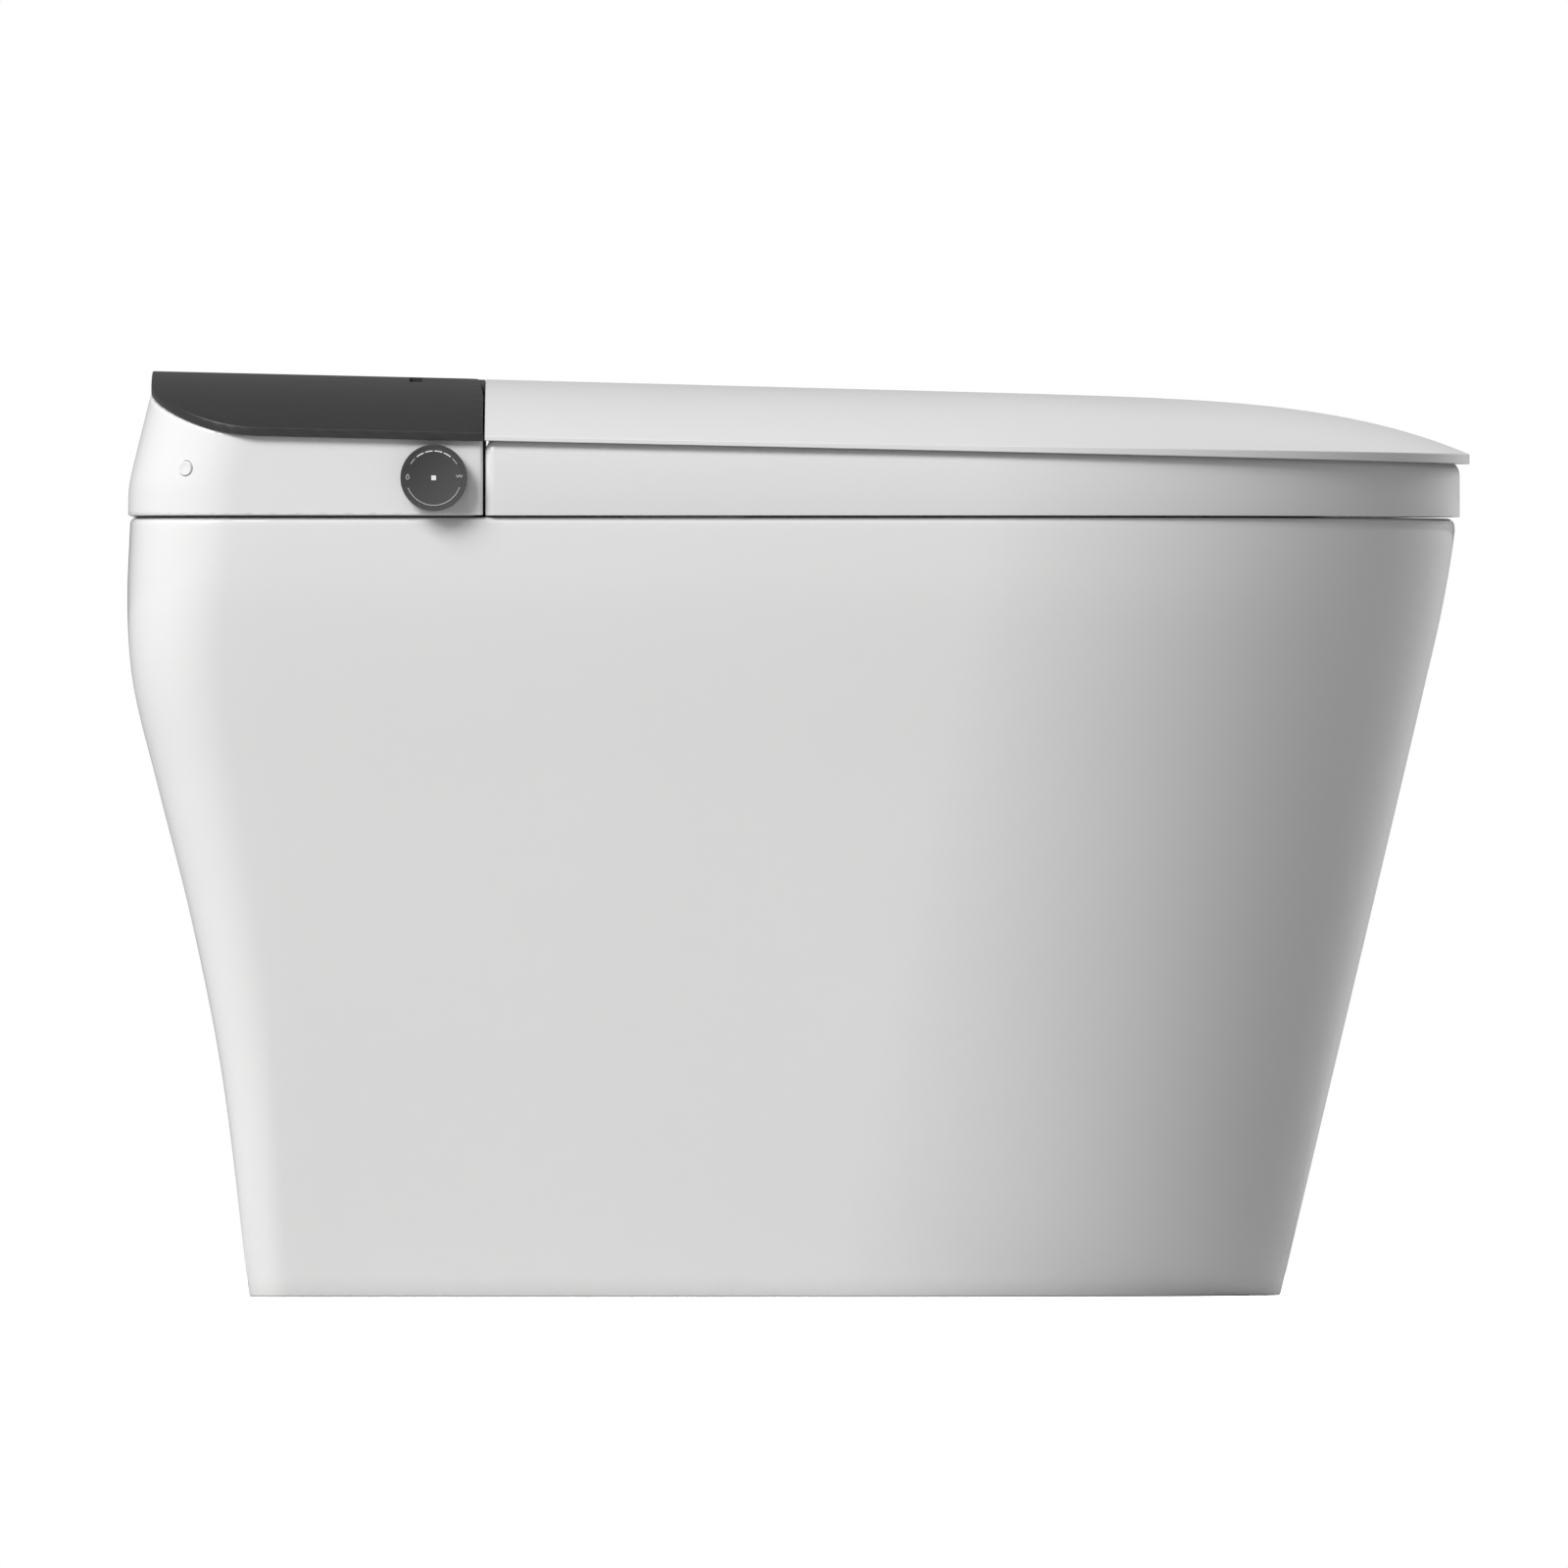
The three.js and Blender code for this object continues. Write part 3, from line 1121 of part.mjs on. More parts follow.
piece(
  "dial_face",
  join(
    across(DIAL_FACE_RADIUS, -DIAL_STANDOFF, -DIAL_PROUD + 0.5, 40),
    across(9.4, -DIAL_STANDOFF - 1, 7, ROUND_STEPS),
    across(3, 6, 15, 16),
  ),
  DIAL_GLASS,
  dial,
);
piece(
  "dial_encoder",
  cut(join(box(-9, 9, 11, 22.1, -9, 9), box(-20, 20, 22, 23.6, -15, 15)), across(3.4, 10, 19, 16)),
  BOARD,
  dial,
);

// ---------------------------------------------------------------- auxiliary button on the rear corner
const button = new THREE.Group();
button.position.copy(BUTTON_CENTRE);
button.rotation.z = -THREE.MathUtils.degToRad(BUTTON_BEARING);
toilet.add(button);
piece(
  "aux_button",
  join(
    across(BUTTON_RADIUS, 5, -BUTTON_PROUD, 20),
    across(BUTTON_RADIUS + 1.4, 4.6, 6, 20),
    across(1.6, 5.5, 8.6, 12),
  ),
  WHITE,
  button,
);
piece("aux_switch", cut(box(-7, 7, 8.2, 17, -6, 6), across(2.1, 7, 11.5, 12)), BLACK, button);

// ---------------------------------------------------------------- washing nozzle, in a group along its own slope
const nozzle = new THREE.Group();
nozzle.position.copy(PORT);
nozzle.rotation.y = THREE.MathUtils.degToRad(NOZZLE_SLOPE);
toilet.add(nozzle);
const PINION_PITCH = (2 * Math.PI * RACK_PITCH_RADIUS) / PINION_TEETH;
const RACK_ADDENDUM = 1;
const RACK_DEDENDUM = 1.6;
const PINION_ADDENDUM = 1.2;
const PINION_ROOT = RACK_PITCH_RADIUS - RACK_ADDENDUM - 0.5;
const RACK_FACE = NOZZLE_RADIUS + FIT + 4.3; // pitch line of the rack, from the nozzle's axis
const PINION_SIDE = RACK_FACE + RACK_PITCH_RADIUS;
const RACK_FRONT = -PINION_BACK + 5;
const RACK_BACK = -PINION_BACK - NOZZLE_TRAVEL - 6;
const NOZZLE_BACK = RACK_BACK - 3;
const FEED_RADIUS = 2.6;
const FEED_BACK = NOZZLE_BACK - 10;
const alongU = (radius, u0, u1, steps = ROUND_STEPS) => rod(radius, [u0, 0, 0], [u1, 0, 0], steps);
piece(
  "nozzle_tube",
  cut(
    alongU(NOZZLE_RADIUS, NOZZLE_BACK, -NOZZLE_TIP - FIT, 20),
    alongU(FEED_RADIUS + 0.5, NOZZLE_BACK - 1, 0, 12),
  ),
  STEEL,
  nozzle,
);
// The tube slides over a fixed pipe that feeds it with water.
piece("nozzle_feed_pipe", alongU(FEED_RADIUS, FEED_BACK, NOZZLE_BACK + NOZZLE_TRAVEL + 12, 12), STEEL, nozzle);
const SPRAY_HOLES = [-5.5, -9, -12.5];
piece(
  "nozzle_tip",
  cut(
    join(
      alongU(NOZZLE_RADIUS, -NOZZLE_TIP, -2),
      rod(NOZZLE_RADIUS, [-2.2, 0, 0], [0, 0, 0], ROUND_STEPS, 4.6),
    ),
    ...SPRAY_HOLES.map((u) => rod(0.8, [u, 0, 3], [u, 0, 12], 8)),
  ),
  LINER_WHITE,
  nozzle,
);

function rackOutline() {
  const slope = Math.tan(THREE.MathUtils.degToRad(PRESSURE_ANGLE));
  const back = NOZZLE_RADIUS + FIT;
  const count = Math.floor((NOZZLE_TRAVEL + 2) / PINION_PITCH);
  const outline = [
    [RACK_BACK, back],
    [RACK_FRONT, back],
  ];
  const half = TOOTH_THICKNESS / 2;
  const root = half + RACK_DEDENDUM * slope;
  const tip = half - RACK_ADDENDUM * slope;
  outline.push([RACK_FRONT, RACK_FACE - RACK_DEDENDUM]);
  for (let i = 0; i <= count; i++) {
    const u = -PINION_BACK - (i - 0.5) * PINION_PITCH;
    outline.push([u + root, RACK_FACE - RACK_DEDENDUM], [u + tip, RACK_FACE + RACK_ADDENDUM]);
    outline.push([u - tip, RACK_FACE + RACK_ADDENDUM], [u - root, RACK_FACE - RACK_DEDENDUM]);
  }
  outline.push([RACK_BACK, RACK_FACE - RACK_DEDENDUM]);
  return outline;
}
piece("nozzle_rack", plate(rackOutline(), -3, 3), LINER_WHITE, nozzle);

// A pinion with involute flanks, whose tooth points at the rack.
function pinionOutline() {
  const pressure = THREE.MathUtils.degToRad(PRESSURE_ANGLE);
  const base = RACK_PITCH_RADIUS * Math.cos(pressure);
  const involute = (angle) => Math.tan(angle) - angle;
  const halfAngle = (radius) => {
    const angle = Math.acos(Math.min(1, base / radius));
    return TOOTH_THICKNESS / 2 / RACK_PITCH_RADIUS + involute(pressure) - involute(angle);
  };
  const outline = [];
  const tip = RACK_PITCH_RADIUS + PINION_ADDENDUM;
  const flank = [PINION_ROOT, base, RACK_PITCH_RADIUS, tip];
  for (let tooth = 0; tooth < PINION_TEETH; tooth++) {
    const centre = -Math.PI / 2 + (2 * Math.PI * tooth) / PINION_TEETH;
    const at = (radius, turn) => [
      radius * Math.cos(centre + turn),
      radius * Math.sin(centre + turn),
    ];
    for (const radius of flank) outline.push(at(radius, -halfAngle(Math.max(radius, base))));
    for (const radius of flank.slice().reverse()) outline.push(at(radius, halfAngle(Math.max(radius, base))));
  }
  return outline;
}
const pinionGroup = new THREE.Group();
pinionGroup.position.set(-PINION_BACK, PINION_SIDE, 0);
nozzle.add(pinionGroup);
piece(
  "nozzle_pinion",
  cut(
    join(plate(pinionOutline(), -3, 3), rod(4, [0, 0, -4.5], [0, 0, -2.9], 16)),
    rod(2, [0, 0, -6], [0, 0, 6], 12),
  ),
  GREY,
  pinionGroup,
);
piece(
  "nozzle_motor",
  join(
    rod(12, [0, 0, -18], [0, 0, -5]),
    rod(1.6, [0, 0, -6], [0, 0, 4], 12),
    box(-16, 16, -4, 4, -6.5, -5),
  ),
  STEEL,
  pinionGroup,
);
piece(
  "nozzle_cradle",
  cut(
    box(NOZZLE_BACK - 5, -34, -NOZZLE_RADIUS - 3, NOZZLE_RADIUS - 1, -NOZZLE_RADIUS - 3, 3),
    alongU(NOZZLE_RADIUS + 0.35, NOZZLE_BACK - 0.5, 0),
    alongU(FEED_RADIUS + 0.3, NOZZLE_BACK - 8, NOZZLE_BACK + 2, 12),
    box(-PINION_BACK - 20, -PINION_BACK + 20, 0.5, NOZZLE_RADIUS, -NOZZLE_RADIUS - 4, 5),
  ),
  GREY,
  nozzle,
);

// ---------------------------------------------------------------- warm air dryer
const FAN_X = UNIT_REAR + 66;
const FAN_Y = 124;
const FAN_FOOT = TRAY_TOP + 2;
const FAN_HEIGHT = 30;
const FAN_RADIUS = 32;
const DUCT_BACK = FAN_X + 20;
const ductOutline = (wall) => [
  [DUCT_BACK, FAN_Y - 30 + wall],
  [UNIT_FRONT - 6, DRYER_Y0 + wall],
  [HOOD_FRONT - 6, DRYER_Y0 + wall],
  [HOOD_FRONT - 6, DRYER_Y1 - wall],
  [UNIT_FRONT - 6, DRYER_Y1 - wall],
  [DUCT_BACK, FAN_Y + 4 - wall],
];
// The duct's inside runs past both of its ends, to leave them open.
const DUCT_PAST = [-2, 0, 2, 2, 0, -2];
const ductInside = ductOutline(1.6).map(([x, y], i) => [x + DUCT_PAST[i], y]);
piece(
  "dryer_housing",
  cut(
    join(
      rod(FAN_RADIUS, [FAN_X, FAN_Y, FAN_FOOT], [FAN_X, FAN_Y, FAN_FOOT + FAN_HEIGHT]),
      plate(ductOutline(0), DRYER_FOOT, DRYER_TOP),
    ),
    rod(FAN_RADIUS - 2, [FAN_X, FAN_Y, FAN_FOOT + 2], [FAN_X, FAN_Y, FAN_FOOT + FAN_HEIGHT - 2]),
    rod(18, [FAN_X, FAN_Y, FAN_FOOT + 10], [FAN_X, FAN_Y, FAN_FOOT + FAN_HEIGHT + 1]),
    plate(ductInside, DRYER_FOOT + 1.6, DRYER_TOP - 1.6),
  ),
  GREY,
);
const BLADES = 12;
function makeFan() {
  const blades = Array.from({ length: BLADES }, (_, i) => {
    const turn = (2 * Math.PI * i) / BLADES;
    const blade = new THREE.BoxGeometry(9, 1.6, FAN_HEIGHT - 14).translate(21, 0, (FAN_HEIGHT - 14) / 2);
    blade.rotateZ(turn);
    return solid(blade);
  });
  const disc = rod(26, [0, 0, -2], [0, 0, 0.1]);
  const hub = rod(9, [0, 0, 0], [0, 0, 12], 16);
  return join(disc, hub, ...blades);
}
const fan = new THREE.Group();
fan.position.set(FAN_X, FAN_Y, FAN_FOOT + 7);
toilet.add(fan);
piece("dryer_fan", makeFan(), BLACK, fan);
piece(
  "dryer_flap",
  join(
    box(HOOD_FRONT + 0.6, HOOD_FRONT + 2.4, DRYER_Y0 + 1.5, DRYER_Y1 - 1.5, DRYER_FOOT + 0.6, FLAP_HINGE_Z),
    rod(1.05, [FLAP_HINGE_X, DRYER_Y0 - 1.8, FLAP_HINGE_Z], [FLAP_HINGE_X, DRYER_Y1 + 1.8, FLAP_HINGE_Z], 12),
  ),
  WHITE,
);

// ---------------------------------------------------------------- water and electric parts on the tray
const HEATER_X0 = UNIT_REAR + 16;
const HEATER_Y0 = 8;
piece(
  "water_heater",
  join(
    box(HEATER_X0, HEATER_X0 + 34, HEATER_Y0, HEATER_Y0 + 74, TRAY_TOP + FIT, TRAY_TOP + 44),
    rod(5, [HEATER_X0 + 17, HEATER_Y0 - 8, TRAY_TOP + 12], [HEATER_X0 + 17, HEATER_Y0 + 1, TRAY_TOP + 12], 12),
    rod(3, [HEATER_X0 + 9, HEATER_Y0 + 8, TRAY_TOP + 43], [HEATER_X0 + 9, HEATER_Y0 + 8, TRAY_TOP + 49], 12),
  ),
  STEEL,
);
const VALVE_X = UNIT_REAR + 33;
const VALVE_Y = -24;
piece(
  "inlet_valve",
  join(
    box(VALVE_X - 14, VALVE_X + 14, VALVE_Y - 14, VALVE_Y + 14, TRAY_TOP + FIT, TRAY_TOP + 22),
    rod(10, [VALVE_X, VALVE_Y, TRAY_TOP + 20], [VALVE_X, VALVE_Y, TRAY_TOP + 38]),
    rod(5, [VALVE_X, VALVE_Y + 13, TRAY_TOP + 12], [VALVE_X, HEATER_Y0 - 8 - FIT, TRAY_TOP + 12], 12),
  ),
  LINER_WHITE,
);
const feedEnd = onNozzle(FEED_BACK - FIT);
const feedBehind = onNozzle(FEED_BACK - 4);
piece(
  "nozzle_hose",
  tube(
    [
      [HEATER_X0 + 9, HEATER_Y0 + 8, TRAY_TOP + 49 + FIT],
      [HEATER_X0 + 9, HEATER_Y0 + 8, TRAY_TOP + 52],
      [HEATER_X0 + 6, HEATER_Y0 - 4, TRAY_TOP + 57.5],
      [feedBehind[0] - 3, feedBehind[1] + 3, feedBehind[2] + 0.5],
      feedBehind,
      feedEnd,
    ],
    2.6,
    18,
    5,
  ),
  RUBBER,
);
const FILTER = { x0: UNIT_FRONT - 88, x1: UNIT_FRONT - 42, y0: -84, y1: -40 };
const BOARD_X0 = UNIT_FRONT - 92;
const BOARD_X1 = UNIT_FRONT - 40;
const BOARD_Y0 = -UNIT_HALF + 25.5;
const BOARD_Y1 = FILTER.y0 - 8;
const BOARD_TOP = TRAY_TOP + 8;
const boardPosts = [BOARD_X0 + 8, BOARD_X1 - 8].flatMap((x) => [BOARD_Y0 + 8, BOARD_Y1 - 8].map((y) => [x, y]));
piece(
  "control_board",
  join(
    box(BOARD_X0, BOARD_X1, BOARD_Y0, BOARD_Y1, BOARD_TOP - 2, BOARD_TOP),
    ...boardPosts.map(([x, y]) => rod(3, [x, y, TRAY_TOP + FIT], [x, y, BOARD_TOP - 1], 10)),
    box(BOARD_X0 + 16, BOARD_X0 + 38, BOARD_Y0 + 16, BOARD_Y0 + 38, BOARD_TOP - 0.1, BOARD_TOP + 4),
    rod(6, [BOARD_X0 + 26, BOARD_Y1 - 16, BOARD_TOP - 0.1], [BOARD_X0 + 26, BOARD_Y1 - 16, BOARD_TOP + 16], 16),
  ),
  BOARD,
);
const POWER_X0 = UNIT_REAR + 30;
const POWER_Y0 = -UNIT_HALF + 31.5;
piece(
  "power_supply",
  box(POWER_X0, POWER_X0 + 36, POWER_Y0, POWER_Y0 + 48, TRAY_TOP + FIT, TRAY_TOP + 34),
  BLACK,
);
piece(
  "cord_gland",
  cut(
    join(
      rod(6, [GLAND.x, GLAND.y, DECK - 14], [GLAND.x, GLAND.y, TRAY_TOP + 8], 16),
      rod(9.5, [GLAND.x, GLAND.y, TRAY_FOOT - FIT - 3], [GLAND.x, GLAND.y, TRAY_FOOT - FIT], 16),
    ),
    rod(3.2, [GLAND.x, GLAND.y, DECK - 15], [GLAND.x, GLAND.y, TRAY_TOP + 9], 12),
  ),
  BLACK,
);
piece(
  "deodoriser_filter",
  box(FILTER.x0, FILTER.x1, FILTER.y0, FILTER.y1, TRAY_TOP + FIT, TRAY_TOP + 28),
  BLACK,
);

export default toilet;
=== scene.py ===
import json
import math

import bmesh
import bpy
import numpy as np
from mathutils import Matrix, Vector


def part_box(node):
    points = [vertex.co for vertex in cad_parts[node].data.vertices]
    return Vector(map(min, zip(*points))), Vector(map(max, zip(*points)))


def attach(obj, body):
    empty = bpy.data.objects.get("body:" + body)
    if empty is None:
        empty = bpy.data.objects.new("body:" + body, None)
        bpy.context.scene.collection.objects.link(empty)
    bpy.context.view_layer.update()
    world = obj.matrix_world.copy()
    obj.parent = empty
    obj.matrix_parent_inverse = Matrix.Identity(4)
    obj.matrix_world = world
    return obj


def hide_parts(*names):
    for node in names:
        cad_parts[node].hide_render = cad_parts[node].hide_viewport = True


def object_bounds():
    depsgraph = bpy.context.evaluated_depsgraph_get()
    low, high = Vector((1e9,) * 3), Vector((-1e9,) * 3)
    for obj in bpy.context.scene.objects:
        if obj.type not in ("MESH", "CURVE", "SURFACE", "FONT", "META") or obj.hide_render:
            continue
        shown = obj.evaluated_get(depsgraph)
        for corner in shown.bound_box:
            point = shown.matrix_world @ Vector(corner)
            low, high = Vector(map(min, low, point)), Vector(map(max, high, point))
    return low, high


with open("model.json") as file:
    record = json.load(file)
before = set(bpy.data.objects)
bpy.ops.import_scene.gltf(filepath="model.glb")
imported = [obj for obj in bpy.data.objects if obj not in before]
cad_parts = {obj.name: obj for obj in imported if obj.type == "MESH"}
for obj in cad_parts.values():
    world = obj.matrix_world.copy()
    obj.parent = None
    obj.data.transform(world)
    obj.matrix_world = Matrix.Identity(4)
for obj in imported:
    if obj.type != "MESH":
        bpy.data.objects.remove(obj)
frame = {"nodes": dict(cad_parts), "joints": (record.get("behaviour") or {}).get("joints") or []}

# ---- The whole: a one-piece electric bidet toilet, seen square to its side, where its control dial is.
# Its box straight from the frame gives every place below. All lengths are in metres.
CAD_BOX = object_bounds()
MM = 0.001
REAR, FRONT = CAD_BOX[0].x, CAD_BOX[1].x
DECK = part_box("pan")[1].z

# ---- The studio: a pale floor that turns to plain white far away and sends less light back in front.
# The light is soft: a large key from the left, and one from behind that lifts the edge of the front.
# The camera is far off, so that nothing is foreshortened.
CAMERA_DISTANCE = 32.0
VIEW_WIDTH = 0.804
VIEW_HEIGHT = 0.262
VIEW_SHIFT = -0.008
LIGHT_TARGET = Vector((0, 0, 0.25))

camera_data = bpy.data.cameras.new("camera")
camera_data.sensor_width = 36
camera_data.lens = camera_data.sensor_width * CAMERA_DISTANCE / VIEW_WIDTH
camera = bpy.data.objects.new("camera", camera_data)
camera.location = (VIEW_SHIFT, -CAMERA_DISTANCE, VIEW_HEIGHT)
camera.rotation_euler = (math.pi / 2, 0, 0)
bpy.context.scene.collection.objects.link(camera)
bpy.context.scene.camera = camera
bpy.context.scene.view_settings.view_transform = "Standard"


def softbox(name, toward, distance, watts, size, mirrored=False):
    """A square area light that faces the middle of the object from a direction.
    Gloss shows it only if mirrored."""
    data = bpy.data.lights.new(name, "AREA")
    data.energy = watts
    data.size = size
    lamp = bpy.data.objects.new(name, data)
    lamp.location = LIGHT_TARGET + Vector(toward).normalized() * distance
    lamp.rotation_euler = (-Vector(toward)).to_track_quat("-Z", "Y").to_euler()
    lamp.visible_glossy = mirrored
    lamp.visible_camera = False
    bpy.context.scene.collection.objects.link(lamp)


softbox("key_light", (-0.52, -0.60, 0.61), 8.0, 600, 3.4, mirrored=True)
softbox("glint_light", (-0.10, -0.70, 0.70), 8.0, 33, 0.8, mirrored=True)
softbox("side_light", (-1.0, 0.0, 0.15), 4.0, 14, 1.6)
softbox("edge_light", (0.55, 0.75, 0.40), 4.0, 210, 1.6)


class Wire:
    """A value in a material's node tree. Sums and products of wires add Math nodes."""

    def __init__(self, tree, socket):
        self.tree = tree
        self.socket = socket

    def math(self, operation, *values):
        node = self.tree.nodes.new("ShaderNodeMath")
        node.operation = operation
        for socket, value in zip(node.inputs, values):
            if isinstance(value, Wire):
                self.tree.links.new(value.socket, socket)
            else:
                socket.default_value = value
        return Wire(self.tree, node.outputs[0])

    def __add__(self, other):
        return self.math("ADD", self, other)

    def __mul__(self, other):
        return self.math("MULTIPLY", self, other)

    __radd__ = __add__
    __rmul__ = __mul__


class Finish:
    """A material being made. node() adds one node, and shine() joins wires or numbers to the main shader."""

    def __init__(self, name):
        self.material = bpy.data.materials.new(name)
        self.material.use_nodes = True
        self.tree = self.material.node_tree
        self.shader = self.tree.nodes["Principled BSDF"]
        self.place = self.node("ShaderNodeTexCoord", output="Object")

    def feed(self, socket, value):
        if isinstance(value, Wire):
            self.tree.links.new(value.socket, socket)
        else:
            socket.default_value = value

    def node(self, kind, settings=None, inputs=None, output=0):
        made = self.tree.nodes.new(kind)
        for key, value in (settings or {}).items():
            if key == "stops":
                ramp = made.color_ramp
                for stop, (at, colour) in zip(list(ramp.elements), value):
                    stop.position, stop.color = at, colour
                for at, colour in value[2:]:
                    ramp.elements.new(at).color = colour
            else:
                setattr(made, key, value)
        for key, value in (inputs or {}).items():
            self.feed(made.inputs[key], value)
        return Wire(self.tree, made.outputs[output])

    def noise(self, scale, detail=2.0, vector=None, roughness=0.5):
        """Cloudy values from 0 to 1, with `scale` clouds to the metre."""
        settings = {"Vector": vector or self.place, "Scale": scale, "Detail": detail, "Roughness": roughness}
        return self.node("ShaderNodeTexNoise", inputs=settings)

    def blend(self, share, first, second):
        """A colour between two, by share."""
        return self.node("ShaderNodeMix", {"data_type": "RGBA"}, {0: share, 6: first, 7: second}, output=2)

    def bump(self, height, distance, strength=1.0, under=None):
        """The surface's slope from a height in the range 0 to 1, where 1 stands for `distance` metres."""
        inputs = {"Height": height, "Distance": distance, "Strength": strength}
        if under is not None:
            inputs["Normal"] = under
        return self.node("ShaderNodeBump", inputs=inputs)

    def shine(self, **sockets):
        for key, value in sockets.items():
            self.feed(self.shader.inputs[key.replace("_", " ")], value)
        return self.material


def grey(value, warmth=0.0):
    """An opaque grey, a little warmer or colder."""
    return (value * (1 + warmth), value, value * (1 - warmth), 1.0)


world = bpy.data.worlds.new("studio")
bpy.context.scene.world = world
world.use_nodes = True
SKY_LIGHT = 0.175
WHITE_OUT = 1.0
sky_tree = world.node_tree
sky = sky_tree.nodes["Background"]
sky.inputs["Color"].default_value = grey(1.0)
ray = Wire(sky_tree, sky_tree.nodes.new("ShaderNodeLightPath").outputs["Is Camera Ray"])
sky_tree.links.new((ray * (WHITE_OUT - SKY_LIGHT) + SKY_LIGHT).socket, sky.inputs["Strength"])

FLOOR_HALF = 40.0
floor_mesh = bpy.data.meshes.new("floor")
corners = [(-FLOOR_HALF, -FLOOR_HALF, 0), (FLOOR_HALF, -FLOOR_HALF, 0)]
corners += [(FLOOR_HALF, FLOOR_HALF, 0), (-FLOOR_HALF, FLOOR_HALF, 0)]
floor_mesh.from_pydata(corners, [], [(0, 1, 2, 3)])
floor = bpy.data.objects.new("floor", floor_mesh)
bpy.context.scene.collection.objects.link(floor)

WHITE_FROM, WHITE_AT = 0.35, 1.6
BOUNCE_FROM, BOUNCE_AT = 0.05, 0.35
BOUNCE_BEHIND, BOUNCE_AHEAD = grey(0.54), grey(0.26)
FLOOR_SEEN = grey(1.9)
pale = Finish("pale_floor")
seen = pale.node("ShaderNodeLightPath", output="Is Camera Ray")
across = pale.node("ShaderNodeVectorMath", {"operation": "LENGTH"}, {0: pale.place}, output="Value")
far = pale.node("ShaderNodeMapRange", inputs={"Value": across, "From Min": WHITE_FROM, "From Max": WHITE_AT})
forward = pale.node("ShaderNodeSeparateXYZ", inputs={0: pale.place})
card_inputs = {"Value": forward, "From Min": BOUNCE_FROM, "From Max": BOUNCE_AT}
bounce = pale.blend(pale.node("ShaderNodeMapRange", inputs=card_inputs), BOUNCE_BEHIND, BOUNCE_AHEAD)
near_floor = pale.node("ShaderNodeBsdfDiffuse", inputs={"Color": pale.blend(seen, bounce, FLOOR_SEEN)})
far_floor = pale.node("ShaderNodeEmission", inputs={"Color": grey(1.0), "Strength": seen * 0.55 + 0.45})
surface = pale.node("ShaderNodeMixShader", inputs={0: far, 1: near_floor, 2: far_floor})
pale.tree.links.new(surface.socket, pale.tree.nodes["Material Output"].inputs["Surface"])
floor_mesh.materials.append(pale.material)


# ---- The pan: one glazed casting with a skirt, a flat deck and an open bowl, hollow and open under its foot.
# Its back swells and tucks in again, its front slopes straight, and its top edge is only just rounded.
def smooth_curve(points):
    """A function through (at, value) points whose slope at each is that between its neighbours."""
    at, value = np.array(points, float).T
    before = np.maximum(np.arange(len(at)) - 1, 0)
    after = np.minimum(np.arange(len(at)) + 1, len(at) - 1)
    slope = (value[after] - value[before]) / (at[after] - at[before])

    def curve(x):
        x = np.asarray(x, float)
        i = np.clip(np.searchsorted(at, x, side="right") - 1, 0, len(at) - 2)
        step = at[i + 1] - at[i]
        t = (x - at[i]) / step
        hermite = (2 * t**3 - 3 * t**2 + 1) * value[i] + (3 * t**2 - 2 * t**3) * value[i + 1]
        return hermite + step * ((t**3 - 2 * t**2 + t) * slope[i] + (t**3 - t**2) * slope[i + 1])

    return curve


def plan(rear, front, half, corner, bend, corner_steps=14, side_steps=18, front_steps=90, rear_steps=20):
    """Points round a plan outline, one row for each row of the sizes: round rear corners, straight sides that
    end at `bend`, and half of an ellipse in front. Anticlockwise from the rear right corner."""
    sizes = (rear, front, half, corner, bend)
    rear, front, half, corner, bend = [np.asarray(v, float).reshape(-1, 1) for v in sizes]
    turn = np.linspace(math.pi, 1.5 * math.pi, corner_steps)
    along = np.linspace(0, 1, side_steps + 1)[1:-1]
    sweep = np.linspace(-math.pi / 2, math.pi / 2, front_steps)
    over = np.linspace(1, -1, rear_steps + 1)[1:-1]
    start = rear + corner
    x = [start + corner * np.cos(turn), start + (bend - start) * along, bend + (front - bend) * np.cos(sweep)]
    y = [corner - half + corner * np.sin(turn), -half + 0 * along * start, half * np.sin(sweep)]
    x += [bend + (start - bend) * along, start + corner * np.cos(turn[::-1]), rear + 0 * over]
    y += [half + 0 * along * start, half - corner - corner * np.sin(turn[::-1]), (half - corner) * over]
    return np.concatenate(x, axis=1), np.concatenate(y, axis=1)


def grid_object(name, grid, loop_rows=False, loop_columns=True, ends=(), sharp=35):
    """A closed mesh over rows and columns of points. Rows or columns may close on themselves, `ends` lists
    more faces, and points that meet, at poles and seams, become one."""
    rows, columns = grid.shape[:2]
    index = np.arange(rows * columns).reshape(rows, columns)
    down = np.roll(index, -1, axis=0) if loop_rows else index[1:]
    top = index if loop_rows else index[:-1]
    if not loop_columns:
        top, down = top[:, :-1], down[:, :-1]
    right = np.roll(index, -1, axis=1) if loop_columns else index[:, 1:]
    right_down = np.roll(right, -1, axis=0) if loop_rows else right[1:]
    right_top = right if loop_rows else right[:-1]
    faces = np.stack([top, right_top, right_down, down], axis=-1).reshape(-1, 4).tolist() + list(ends)
    mesh = bpy.data.meshes.new(name)
    mesh.from_pydata(grid.reshape(-1, 3), [], faces)
    work = bmesh.new()
    work.from_mesh(mesh)
    bmesh.ops.remove_doubles(work, verts=work.verts, dist=2e-6)
    bmesh.ops.dissolve_degenerate(work, edges=work.edges, dist=1e-7)
    bmesh.ops.recalc_face_normals(work, faces=work.faces)
    work.to_mesh(mesh)
    work.free()
    mesh.shade_smooth()
    mesh.set_sharp_from_angle(angle=math.radians(sharp))
    made = bpy.data.objects.new(name, mesh)
    bpy.context.scene.collection.objects.link(made)
    return made


